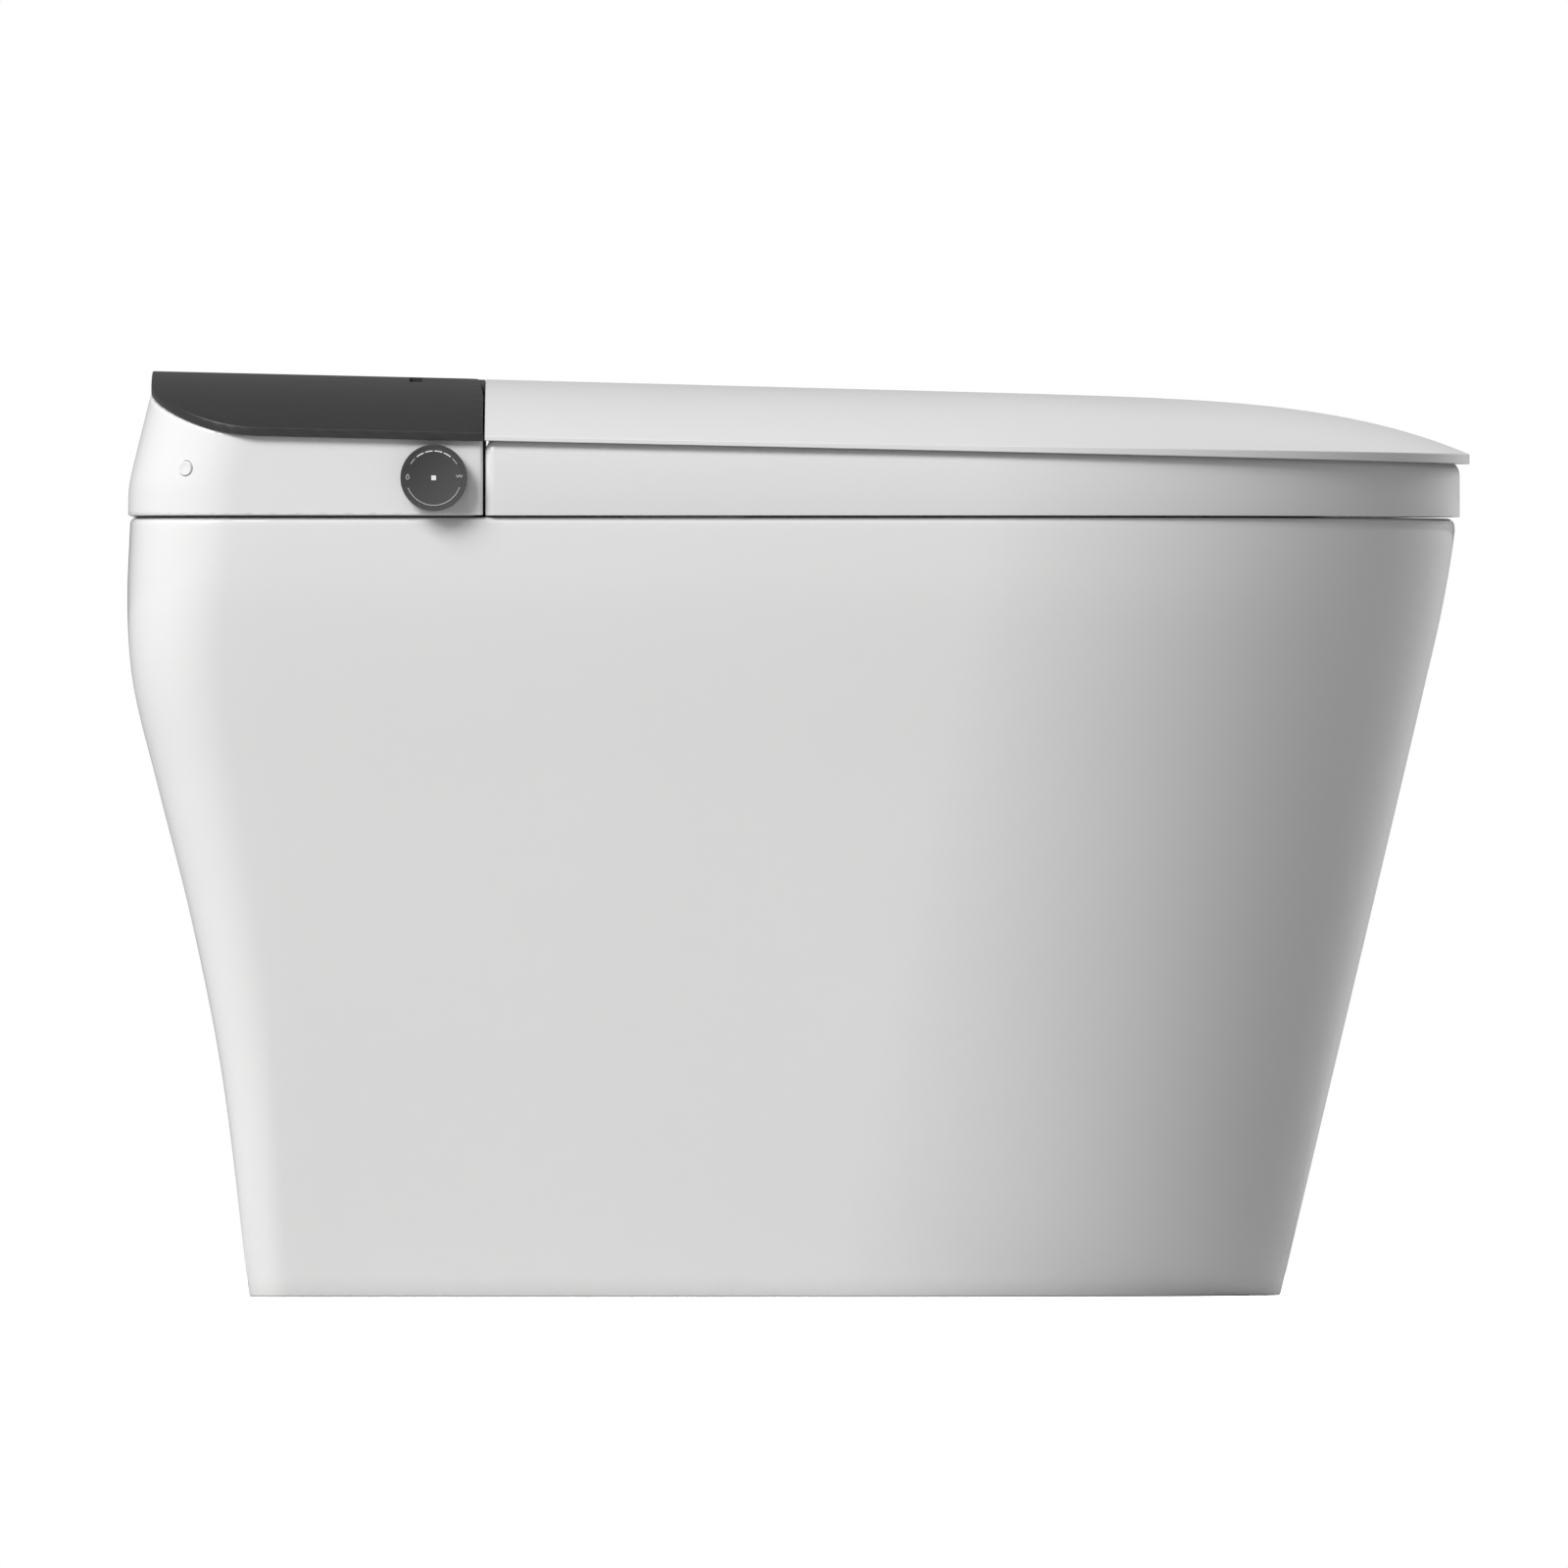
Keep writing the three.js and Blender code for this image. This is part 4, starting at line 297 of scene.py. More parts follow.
def apply_modifiers(piece):
    """Bakes a piece's modifiers into its mesh."""
    graph = bpy.context.evaluated_depsgraph_get()
    baked = bpy.data.meshes.new_from_object(piece.evaluated_get(graph))
    piece.modifiers.clear()
    old = piece.data
    piece.data = baked
    bpy.data.meshes.remove(old)


def carve(piece, cutters, operation="DIFFERENCE", sharp=35):
    """Cuts solids out of a piece, or joins them to it, and removes the cutters."""
    for cutter in cutters:
        change = piece.modifiers.new("carve", "BOOLEAN")
        change.operation = operation
        change.object = cutter
        change.solver = "EXACT"
    apply_modifiers(piece)
    for cutter in cutters:
        bpy.data.objects.remove(cutter)
    piece.data.set_sharp_from_angle(angle=math.radians(sharp))


def edge_round(piece, width, segments=2, angle=38):
    """Rounds the sharp edges of a piece."""
    bevel = piece.modifiers.new("edge_round", "BEVEL")
    bevel.width = width
    bevel.segments = segments
    bevel.limit_method = "ANGLE"
    bevel.angle_limit = math.radians(angle)
    bevel.harden_normals = True


def block(name, low, high):
    """A box between two corners, as a cutter."""
    (x0, y0, z0), (x1, y1, z1) = low, high
    ring = np.array([[x0, y0], [x1, y0], [x1, y1], [x0, y1]])
    centre = ring.mean(axis=0)
    rows = [np.column_stack([ring * 0 + centre, [z] * 4]) if pole else np.column_stack([ring, [z] * 4])
            for z, pole in ((z0, True), (z0, False), (z1, False), (z1, True))]
    return grid_object(name, np.array(rows))


def turned(name, profile, centre, axis, steps=64, sharp=35):
    """A solid of revolution from (radius, height) points along an axis through a centre."""
    radius, height = np.array(profile, float).T
    axis = Vector(axis).normalized()
    side = axis.orthogonal().normalized()
    other = axis.cross(side)
    turn = np.linspace(0, 2 * math.pi, steps, endpoint=False)
    spokes = np.outer(np.cos(turn), side) + np.outer(np.sin(turn), other)
    grid = np.array(centre) + height[:, None, None] * np.array(axis) + radius[:, None, None] * spokes
    return grid_object(name, grid, sharp=sharp)


def drill(name, radius, depth, foot, axis, steps=32):
    """A cutter for a round bore, from its foot along an axis."""
    return turned(name, [(0, 0), (radius, 0), (radius, depth), (0, depth)], foot, axis, steps)


pan_half_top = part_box("pan")[1].y
CHINA = 10 * MM
TOP_ROUND = 3 * MM
RIM_DEPTH = 16 * MM
FOOT_HALF = 134 * MM
REAR_CORNER = 55 * MM
FOOT_CORNER = 21 * MM
BEND = 92 * MM
FOOT_BEND = 0.015
CORNER_GROWTH = 1.3
MOUTH_ROUND = 8 * MM
MOUTH_FLARE = 5 * MM
BOWL_HALF_LENGTH, BOWL_HALF_WIDTH = 0.190, 0.127
pan_rear = smooth_curve(
    [(0, REAR + 0.062), (0.28 * DECK, REAR + 0.0485), (0.48 * DECK, REAR + 0.033),
     (0.66 * DECK, REAR + 0.015), (0.785 * DECK, REAR + 0.003), (0.885 * DECK, REAR), (DECK, REAR + 0.0015)])
PAN_FRONT = FRONT - 7.5 * MM
pan_front = smooth_curve(
    [(0, PAN_FRONT - 0.0895), (0.63 * DECK, PAN_FRONT - 0.03), (0.785 * DECK, PAN_FRONT - 0.0155),
     (0.885 * DECK, PAN_FRONT - 0.0065), (0.985 * DECK, PAN_FRONT), (DECK, PAN_FRONT - 0.001)])
pan_half = smooth_curve(
    [(0, FOOT_HALF), (0.63 * DECK, FOOT_HALF + (pan_half_top - FOOT_HALF) * 0.66),
     (0.885 * DECK, pan_half_top - 0.003), (0.985 * DECK, pan_half_top), (DECK, pan_half_top)])
SUMP = DECK - 280 * MM
bowl_middle = smooth_curve([(SUMP, -0.012), (SUMP + 0.042, 0.004), (SUMP + 0.142, 0.056), (DECK, BEND)])
bowl_length = smooth_curve(
    [(SUMP, 0.024), (SUMP + 0.042, 0.052), (SUMP + 0.142, 0.128), (DECK - 0.045, 0.184),
     (DECK, BOWL_HALF_LENGTH)])
bowl_width = smooth_curve(
    [(SUMP, 0.022), (SUMP + 0.042, 0.044), (SUMP + 0.142, 0.088), (DECK - 0.045, 0.122),
     (DECK, BOWL_HALF_WIDTH)])


def pan_outline(height, inset):
    """The pan's plan at each height, moved inwards."""
    height = np.asarray(height, float)
    corner = FOOT_CORNER + (REAR_CORNER - FOOT_CORNER) * (height / DECK) ** CORNER_GROWTH
    bend = FOOT_BEND + (BEND - FOOT_BEND) * height / DECK
    return plan(pan_rear(height) + inset, pan_front(height) - inset, pan_half(height) - inset,
                np.maximum(corner - inset, 8 * MM), bend)


def bowl_outline(height, grow):
    """The bowl's ellipse at each height, with its points on the same spokes as the pan's outline."""
    height = np.asarray(height, float).reshape(-1, 1)
    x, y = pan_outline([DECK], TOP_ROUND)
    spoke = np.arctan2(y / BOWL_HALF_WIDTH, (x - BEND) / BOWL_HALF_LENGTH)
    grow = np.asarray(grow, float).reshape(-1, 1)
    return (bowl_middle(height) + (bowl_length(height) + grow) * np.cos(spoke),
            (bowl_width(height) + grow) * np.sin(spoke))


def stack(outlines):
    """Rows of one grid from (x, y, z) blocks."""
    return np.concatenate([np.stack(np.broadcast_arrays(x, y, np.reshape(z, (-1, 1))), axis=-1)
                           for x, y, z in outlines])


def between(first, second, shares):
    """Rows that lead straight from one outline to another."""
    shares = np.reshape(shares, (-1, 1))
    return [first[k] + (second[k] - first[k]) * shares for k in range(2)]


def pole_row(x, y, z):
    """A row whose points all lie at the middle of an outline, to close the end of a grid."""
    return [np.mean(x, axis=1, keepdims=True) + 0 * x, 0 * y, [z]]


def make_pan():
    """One closed surface: up the bowl to the deck's inside edge, out over the deck, down the skirt, under the
    foot, up inside and down the bowl's outside."""
    down = np.linspace(DECK - MOUTH_ROUND, SUMP, 34)
    bowl_x, bowl_y = bowl_outline(down, 0 * down)
    sink = pole_row(bowl_x[-1:], bowl_y[-1:], SUMP - 4 * MM)
    lip_turn = np.linspace(0, math.pi / 2, 6)
    lip_z = DECK - MOUTH_ROUND * (1 - np.sin(lip_turn))
    lip_x, lip_y = bowl_outline(lip_z, MOUTH_FLARE * (1 - np.cos(lip_turn)))
    edge = np.linspace(math.pi / 2, 0, 6)
    edge_z = DECK - TOP_ROUND * (1 - np.sin(edge))
    edge_x, edge_y = pan_outline(edge_z, TOP_ROUND * (1 - np.cos(edge)))
    deck = between((lip_x[-1:], lip_y[-1:]), (edge_x[:1], edge_y[:1]), np.linspace(0, 1, 7)[1:-1])
    skirt_z = np.linspace(DECK - 2 * TOP_ROUND, 1.2 * MM, 44)
    skirt_x, skirt_y = pan_outline(skirt_z, 0 * skirt_z)
    foot_z = np.array([0.3 * MM, 0, 0])
    foot_x, foot_y = pan_outline(foot_z, np.array([0.4 * MM, 1.5 * MM, CHINA]))
    inside_z = np.linspace(2 * MM, DECK - RIM_DEPTH, 16)
    inside_x, inside_y = pan_outline(inside_z, CHINA + 0 * inside_z)
    under_z = np.linspace(DECK - RIM_DEPTH, SUMP - 6 * MM, 20)
    under_x, under_y = bowl_outline(under_z, CHINA + 0 * under_z)
    roof = between((inside_x[-1:], inside_y[-1:]), (under_x[:1], under_y[:1]), np.linspace(0, 1, 5)[1:-1])
    bottom = pole_row(under_x[-1:], under_y[-1:], SUMP - 14 * MM)
    grid = stack([
        sink, (bowl_x[::-1], bowl_y[::-1], down[::-1]), (lip_x[1:], lip_y[1:], lip_z[1:]),
        (*deck, DECK + 0 * deck[0][:, 0]), (edge_x, edge_y, edge_z), (skirt_x, skirt_y, skirt_z),
        (foot_x, foot_y, foot_z), (inside_x, inside_y, inside_z),
        (*roof, DECK - RIM_DEPTH + 0 * roof[0][:, 0]), (under_x, under_y, under_z), bottom])
    return grid_object("pan_glazed", grid, sharp=50)


def tube_along(name, points, radius, sides=32, steps=60, inner=None):
    """A round tube carried along a smooth path through points, with flat ends, or a hollow one if it has an
    inner radius."""
    points = np.array(points, float)
    knots = np.linspace(0, 1, len(points))
    at = np.linspace(0, 1, steps)
    path = np.column_stack([smooth_curve(list(zip(knots, points[:, k])))(at) for k in range(3)])
    ahead = np.gradient(path, axis=0)
    ahead /= np.linalg.norm(ahead, axis=1)[:, None]
    side = np.tile([0.0, 1.0, 0.0], (steps, 1))
    up = np.cross(ahead, side)
    turn = np.linspace(0, 2 * math.pi, sides, endpoint=False)
    spokes = np.cos(turn)[None, :, None] * side[:, None] + np.sin(turn)[None, :, None] * up[:, None]
    outside = path[:, None] + radius * spokes
    if inner is None:
        first, last = outside[:1] * 0 + path[:1, None], outside[-1:] * 0 + path[-1:, None]
        return grid_object(name, np.concatenate([first, outside, last]))
    inside = path[:, None] + inner * spokes
    return grid_object(name, np.concatenate([outside, inside[::-1]]), loop_rows=True)


OUTLET = (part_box("outlet_seal")[0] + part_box("outlet_seal")[1]) / 2
BORE = 26 * MM
TRAP_POINTS = [
    (0.008, 0, SUMP + 0.030), (-0.038, 0, SUMP + 0.014), (-0.076, 0, SUMP + 0.036), (-0.104, 0, SUMP + 0.082),
    (-0.134, 0, SUMP + 0.098), (OUTLET.x - 0.016, 0, SUMP + 0.066), (OUTLET.x - 0.004, 0, SUMP - 0.010),
    (OUTLET.x, 0, 0.035), (OUTLET.x, 0, 0.015)]
pan = make_pan()
tray_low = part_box("base_tray")[0]
unit_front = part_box("rear_housing")[1].x
WELL_HALF, WELL_DEPTH = 0.124, 0.017
well = block("well", (tray_low.x + 0.018, -WELL_HALF, DECK - WELL_DEPTH),
             (unit_front - 0.04, WELL_HALF, DECK + 0.001))
bore_points = [(TRAP_POINTS[0][0] + 0.004, 0, TRAP_POINTS[0][2] + 0.004)] + TRAP_POINTS[1:]
cutters = [well, tube_along("bore", bore_points, BORE)]
SPOUT_Z = DECK - 40 * MM
cutters.append(drill("spout_bore", 0.015, 0.09, (-0.15, 0, SPOUT_Z), (1, 0, 0)))
for side in ("right", "left"):
    low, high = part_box("deck_plug_" + side)
    foot = ((low.x + high.x) / 2, (low.y + high.y) / 2, DECK - 0.04)
    cutters.append(drill("bolt_bore", 0.0073, 0.045, foot, (0, 0, 1)))
carve(pan, cutters, sharp=50)
trapway = tube_along("trapway_glazed", TRAP_POINTS, BORE + CHINA, inner=BORE)

glaze = Finish("white_glaze")
clouds = glaze.noise(5.0, 3.0)
ripple = glaze.noise(34.0, 1.0)
speck = glaze.node("ShaderNodeTexVoronoi", inputs={"Vector": glaze.place, "Scale": 160.0}, output="Distance")
pinhole = glaze.node("ShaderNodeMapRange", inputs={"Value": speck, "From Min": 0.03, "From Max": 0.07})
ripple_slope = glaze.bump(ripple, 0.12 * MM, 0.35)
glaze.shine(
    Base_Color=glaze.blend(clouds, grey(0.795, 0.004), grey(0.825, 0.002)),
    Roughness=clouds * 0.05 + 0.10,
    Coat_Weight=clouds * 0.2 + 0.5,
    Coat_Roughness=0.04,
    IOR=1.5,
    Normal=glaze.bump(pinhole, 0.03 * MM, 0.25, under=ripple_slope))
for ceramic in (pan, trapway):
    ceramic.data.materials.append(glaze.material)
    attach(ceramic, "base")
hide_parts("pan")


# ---- White mouldings: the seat's hinge arms, the nozzle hood and the dryer flap, in gloss ABS.
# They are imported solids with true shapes, so they keep them and get rounded edges and the finish.
def dress(node, finish, width=0.35 * MM, segments=2, slot_angle=38):
    """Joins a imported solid's loose triangles for shading, rounds its sharp edges and gives it a finish."""
    solid = frame["nodes"][node]
    solid.data.materials.clear()
    solid.data.materials.append(finish)
    solid.data.polygons.foreach_set("use_smooth", np.ones(len(solid.data.polygons), bool))
    weld = solid.modifiers.new("weld", "WELD")
    weld.merge_threshold = 2e-6
    if width:
        edge_round(solid, width, segments, slot_angle)
    else:
        split = solid.modifiers.new("split", "EDGE_SPLIT")
        split.split_angle = math.radians(slot_angle)


MOULDING_WARMTH = 0.002


def moulding(name, light, dark, roughness, grain):
    """A moulded plastic: faint flow clouds in the colour, a fine grain and a little orange peel."""
    plastic = Finish(name)
    flow = plastic.noise(9.0, 3.0)
    peel = plastic.noise(520.0, 1.0)
    fine = plastic.noise(2600.0, 2.0)
    slope = plastic.bump(peel, 0.02 * MM, 0.22)
    return plastic.shine(
        Base_Color=plastic.blend(flow, grey(dark, MOULDING_WARMTH), grey(light, MOULDING_WARMTH)),
        Roughness=flow * 0.06 + roughness,
        Normal=plastic.bump(fine, 0.012 * MM, grain, under=slope))


gloss_white = moulding("gloss_white_abs", 0.80, 0.775, 0.22, 0.12)
dress("nozzle_hood", gloss_white, 0.6 * MM)
for side in ("right", "left"):
    dress("seat_hinge_arm_" + side, gloss_white, 0.8 * MM, 3)
dress("dryer_flap", gloss_white, 0.25 * MM)


# ---- The lid: one gloss moulding, a crown that falls to a thin upright edge band, deeper at the front.
# Its outside is a ridge line less a fourth power of the way to the edge, so that its middle is nearly flat.
LID_REAR = unit_front + 1 * MM
LID_WALL = 3.5 * MM
HALF_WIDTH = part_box("lid_shell")[1].y
COVER_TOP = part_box("top_cover")[1].z
CROWN_FALL = 0.0237
LID_FALL = 0.0262


def lid_share(x):
    return (x - LID_REAR) / (FRONT - LID_REAR)


def lid_edge(x):
    """Height of the lid's lower edge, which falls in a straight line to the front."""
    return DECK + 39 * MM - 11 * MM * lid_share(x)


def lid_lip(x):
    """Height of the upright band, which grows towards the front."""
    return 2.2 * MM + 2.8 * MM * lid_share(x) ** 2


def lid_ridge(x):
    """Height of the crown's ridge, which carries the cover's on a little lower and falls a little faster."""
    return COVER_TOP - CROWN_FALL * (LID_REAR - REAR - 12.5 * MM) - 0.2 * MM - LID_FALL * (x - LID_REAR)


def crown_profile(outline_x, outline_y, foot, top, edge, wall, lip_wall, shares):
    """Columns of a crowned shell. Each runs from its foot on the ridge to the outline over the top, down the
    band and back along the underside: top(x, y, share, outline's x) and edge(x, y) give the heights."""
    x, y = outline_x[:, None], outline_y[:, None]
    foot = foot[:, None]
    last = 1 - lip_wall / np.hypot(x - foot, y)
    over_x, over_y = foot + (x - foot) * shares, y * shares
    under_x, under_y = foot + (x - foot) * shares * last, y * shares * last
    over = np.stack([over_x, over_y, top(over_x, over_y, shares + 0 * over_x, x)], axis=-1)
    under = np.stack([under_x, under_y, top(under_x, under_y, shares * last, x) - wall], axis=-1)
    lip = [np.stack([px[:, -1:], py[:, -1:], edge(px[:, -1:], py[:, -1:])], axis=-1)
           for px, py in ((over_x, over_y), (under_x, under_y))]
    return np.concatenate([over, lip[0], lip[1], under[:, ::-1]], axis=1)


def close_ends(columns):
    """Faces that close the two straight ends of a crowned shell, from its first and last columns."""
    count, rows = columns.shape[:2]
    faces = []
    for column in (0, count - 1):
        for row in range(rows // 2 - 1):
            low = column * rows
            faces.append((low + row, low + row + 1, low + rows - 2 - row, low + rows - 1 - row))
    return faces


CROWN_SHARES = np.linspace(0, 1, 56) ** 0.75


def make_lid():
    sweep = np.linspace(-math.pi / 2, math.pi / 2, 130)
    side = np.linspace(LID_REAR, BEND, 26)[:-1]
    outline_x = np.concatenate([side, BEND + (FRONT - BEND) * np.cos(sweep), side[::-1]])
    outline_y = np.concatenate([0 * side - HALF_WIDTH, HALF_WIDTH * np.sin(sweep), 0 * side + HALF_WIDTH])

    def top(x, y, share, rim_x):
        drop = lid_ridge(rim_x) - lid_edge(rim_x) - lid_lip(rim_x)
        return lid_ridge(x) - drop * share**4

    columns = crown_profile(outline_x, outline_y, np.minimum(outline_x, BEND), top,
                            lambda x, y: lid_edge(x), LID_WALL, LID_WALL, CROWN_SHARES)
    return grid_object("lid_crown", columns, loop_columns=False, ends=close_ends(columns), sharp=30)


lid = make_lid()
edge_round(lid, 0.45 * MM, 3, 30)
lid.data.materials.append(gloss_white)
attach(lid, "lid")
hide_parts("lid_shell")


# ---- The lid's underside: a satin liner on four posts, and four soft buffers that meet the seat.
# The buffers are small turned pads of grey elastomer.
satin_white = moulding("satin_white_abs", 0.74, 0.71, 0.42, 0.35)
soft_grey = moulding("grey_elastomer", 0.36, 0.33, 0.62, 0.5)
dress("lid_liner", satin_white, 1.0 * MM, 3)
for spot in ("rear_right", "rear_left", "front_right", "front_left"):
    dress("lid_buffer_" + spot, soft_grey, 0.8 * MM, 3)


# ---- The unit's side shell: upright sides, a back that leans forward, round rear corners, an arched top.
# Two pockets behind its front face take the hinges, and bores take the hinge shafts, the dial and the button.
COVER_LOW, COVER_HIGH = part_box("top_cover")
COVER_LIP = 4.5 * MM
SHELL_LOW, SHELL_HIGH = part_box("rear_housing")
SHELL_WALL = 3 * MM
CROWN_DROP = 28.5 * MM
BACK_LEAN, BACK_BEND = 0.125, 5 * MM


def cover_height(x, y):
    return COVER_TOP - CROWN_FALL * (x - COVER_LOW.x) - CROWN_DROP * (np.abs(y) / HALF_WIDTH) ** 4


def shell_rows(inset, nose, shares):
    """Rows round the shell's plan, from its foot (share 0) to its arched top edge (share 1), moved inwards.
    Each point lies between the rear corners' centres and the front corners', plus an offset."""
    corner, half = REAR_CORNER - inset, SHELL_HIGH.y - inset
    turn, sweep = np.linspace(math.pi, 1.5 * math.pi, 44), np.linspace(-math.pi / 2, 0, 6)
    back, along, face = np.linspace(0, 1, 24)[:-1], np.linspace(0, 1, 40)[1:-1], np.linspace(1, 0, 24)[1:]
    lead = np.concatenate([0 * back, 0 * turn, along, 0 * sweep + 1, 0 * face + 1])
    offset = np.concatenate([0 * back - corner, corner * np.cos(turn), 0 * along, nose * np.cos(sweep),
                             0 * face + nose])
    y = np.concatenate([(corner - half) * back, corner - half + corner * np.sin(turn), 0 * along - half,
                        nose - half + nose * np.sin(sweep), (nose - half) * face])
    halves = ((lead, 1), (offset, 1), (y, -1))
    lead, offset, y = [np.concatenate([v, sign * v[-2:0:-1]]) for v, sign in halves]
    stop = SHELL_HIGH.x - inset - nose

    def place(z):
        lean = z - DECK - 16 * MM
        start = SHELL_LOW.x + REAR_CORNER + BACK_LEAN * (lean + np.hypot(lean, BACK_BEND))
        return start + (stop - start) * lead + offset

    top = DECK + 60 * MM + 0 * y
    for _ in range(4):
        top = arch_height(place(top), y)
    z = SHELL_LOW.z + shares[:, None] * (top - SHELL_LOW.z)
    return np.stack([place(z), y + 0 * z, z], axis=-1)


def arch_height(x, y):
    """Height of the shell's top edge, just under the cover."""
    return cover_height(x, y) - COVER_LIP - 1.1 * MM


def pocket_block(x0, x1, y0, y1, foot):
    """A block whose top follows the arch, to hold a hinge pocket."""
    across = np.linspace(y1, y0, 9)
    y = np.concatenate([[y0, y1], across])
    rings = [np.stack([0 * y + x, y, np.concatenate([[foot, foot], arch_height(x, across)])], axis=-1)
             for x in (x0, x1)]
    centres = [ring * 0 + ring.mean(axis=0) for ring in rings]
    return grid_object("pocket_block", np.stack([centres[0], *rings, centres[1]]))


def press_direction():
    """The way the auxiliary button goes in, square to the rear corner."""
    slide = next(joint for joint in frame["joints"] if joint["name"] == "aux_press")
    return Vector(slide["axis"]).normalized()


POCKET_INNER, POCKET_OUTER = 64.5 * MM, 109.5 * MM
POCKET_BEHIND_AXIS = 14.9 * MM


def make_shell():
    shares = np.linspace(0, 1, 24)
    grid = np.concatenate([shell_rows(0, 2 * MM, shares), shell_rows(SHELL_WALL, 0.5 * MM, shares[::-1])])
    shell = grid_object("side_shell", grid, loop_rows=True)
    edge_round(shell, 0.6 * MM, 2)
    apply_modifiers(shell)
    front = SHELL_HIGH.x
    hood_half = 0.0575
    hood_way = block("hood_way", (front - 0.006, -hood_half, DECK - 0.001),
                     (front + 0.005, hood_half, DECK + 0.033))
    blocks, cutters = [], [hood_way]
    for sign, shaft in ((-1, "lid_hinge_shaft"), (1, "seat_hinge_shaft")):
        hinge = (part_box(shaft)[0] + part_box(shaft)[1]) / 2
        inner, outer = sorted((sign * POCKET_INNER, sign * POCKET_OUTER))
        rear, wall = hinge.x - POCKET_BEHIND_AXIS, 2.5 * MM
        blocks.append(pocket_block(rear - wall, front - 1 * MM, inner - wall, outer + wall, DECK + 26 * MM))
        cutters.append(block("pocket", (rear, inner, DECK + 28.5 * MM), (front + 0.005, outer, DECK + 0.1)))
        cutters.append(drill("pin_bore", 3.8 * MM, 57 * MM, (hinge.x, inner - 6 * MM, hinge.z), (0, 1, 0)))
    dial_low, dial_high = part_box("dial_ring")
    dial_back = ((dial_low.x + dial_high.x) / 2, SHELL_LOW.y - 5 * MM, (dial_low.z + dial_high.z) / 2)
    cutters.append(drill("dial_bore", 0.012, 0.013, dial_back, (0, 1, 0), steps=64))
    press = press_direction()
    button_low, button_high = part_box("aux_button")
    outside = (button_low + button_high) / 2 - press * 10 * MM
    cutters.append(drill("button_bore", 0.0041, 0.014, outside, press, steps=64))
    carve(shell, blocks, "UNION", sharp=30)
    carve(shell, cutters, sharp=30)
    return shell


shell = make_shell()
shell.data.materials.append(gloss_white)
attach(shell, "base")
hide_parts("rear_housing")


# ---- The top cover: a crowned plate in dark satin plastic, with round rear corners and an upright edge band.
# Two notches in its front edge let through the lid's hinge blocks, moulded in the same dark plastic.
RIDGE_FOOT = COVER_LOW.x + REAR_CORNER


def make_cover():
    hinge = (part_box("lid_hinge_shaft")[0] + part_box("lid_hinge_shaft")[1]) / 2
    side = np.linspace(COVER_HIGH.x, RIDGE_FOOT, 16)[:-1]
    turn = np.linspace(math.pi / 2, math.pi, 24)
    flat = HALF_WIDTH - REAR_CORNER
    across = np.linspace(flat, -flat, 40)[1:-1]
    outline_x = np.concatenate([side, RIDGE_FOOT + REAR_CORNER * np.cos(turn), 0 * across + COVER_LOW.x,
                                RIDGE_FOOT + REAR_CORNER * np.cos(turn[::-1]), side[::-1]])
    outline_y = np.concatenate([0 * side + HALF_WIDTH, flat + REAR_CORNER * np.sin(turn), across,
                                -flat - REAR_CORNER * np.sin(turn[::-1]), 0 * side - HALF_WIDTH])
    columns = crown_profile(outline_x, outline_y, np.maximum(outline_x, RIDGE_FOOT),
                            lambda x, y, share, rim_x: cover_height(x, y),
                            lambda x, y: cover_height(x, y) - COVER_LIP, LID_WALL, 3 * MM, CROWN_SHARES)
    swing = COVER_HIGH.x - hinge.x
    rise = np.clip(columns[..., 2] - hinge.z, 0, swing)
    columns[..., 0] = np.minimum(columns[..., 0], hinge.x + np.sqrt(swing**2 - rise**2))
    return grid_object("cover_crown", columns, loop_columns=False, ends=close_ends(columns), sharp=30)


cover = make_cover()
edge_round(cover, 1.3 * MM, 4, 30)
apply_modifiers(cover)
notches = []
for side in ("right", "left"):
    ear_low, ear_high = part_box("lid_hinge_ear_" + side)
    gap = 1.5 * MM
    notches.append(block("notch", (ear_low.x - 4.4 * MM, ear_low.y - gap, DECK),
                         (LID_REAR, ear_high.y + gap, COVER_TOP + 0.02)))
carve(cover, notches, sharp=30)
dark = Finish("dark_satin_cover")
dark_flow = dark.noise(7.0, 3.0)
dark_grain = dark.noise(1500.0, 3.0, roughness=0.6)
dark.shine(
    Base_Color=dark.blend(dark_flow, grey(0.036, -0.01), grey(0.041, -0.01)),
    Roughness=dark_grain * 0.10 + 0.32,
    Specular_IOR_Level=0.4,
    Normal=dark.bump(dark_grain, 0.02 * MM, 0.35))
cover.data.materials.append(dark.material)
for side in ("right", "left"):
    dress("lid_hinge_ear_" + side, dark.material, 0.5 * MM)
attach(cover, "base")
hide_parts("top_cover")


# ---- The seat: a deep-sided heated ring in gloss plastic, with a faint dish on top, round at both edges.
# Its rear underside is cut away over the nozzle hood, and its base closes it from below.
SEAT_LOW, SEAT_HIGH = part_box("seat_shell")
SEAT_WALL = 3.5 * MM
SEAT_ROUND = 8 * MM
HOLE_ROUND = 9 * MM
HOLE_REAR, HOLE_FRONT, HOLE_HALF = -52 * MM, 266 * MM, 112 * MM
HOLE_X = (HOLE_REAR + HOLE_FRONT) / 2


def seat_outline(inset):
    inset = np.asarray(inset, float)
    corner = np.maximum(3 * MM, 5 * MM - inset)
    return plan(SEAT_LOW.x + inset, SEAT_HIGH.x - inset, SEAT_HIGH.y - inset, corner, BEND + 0 * inset)


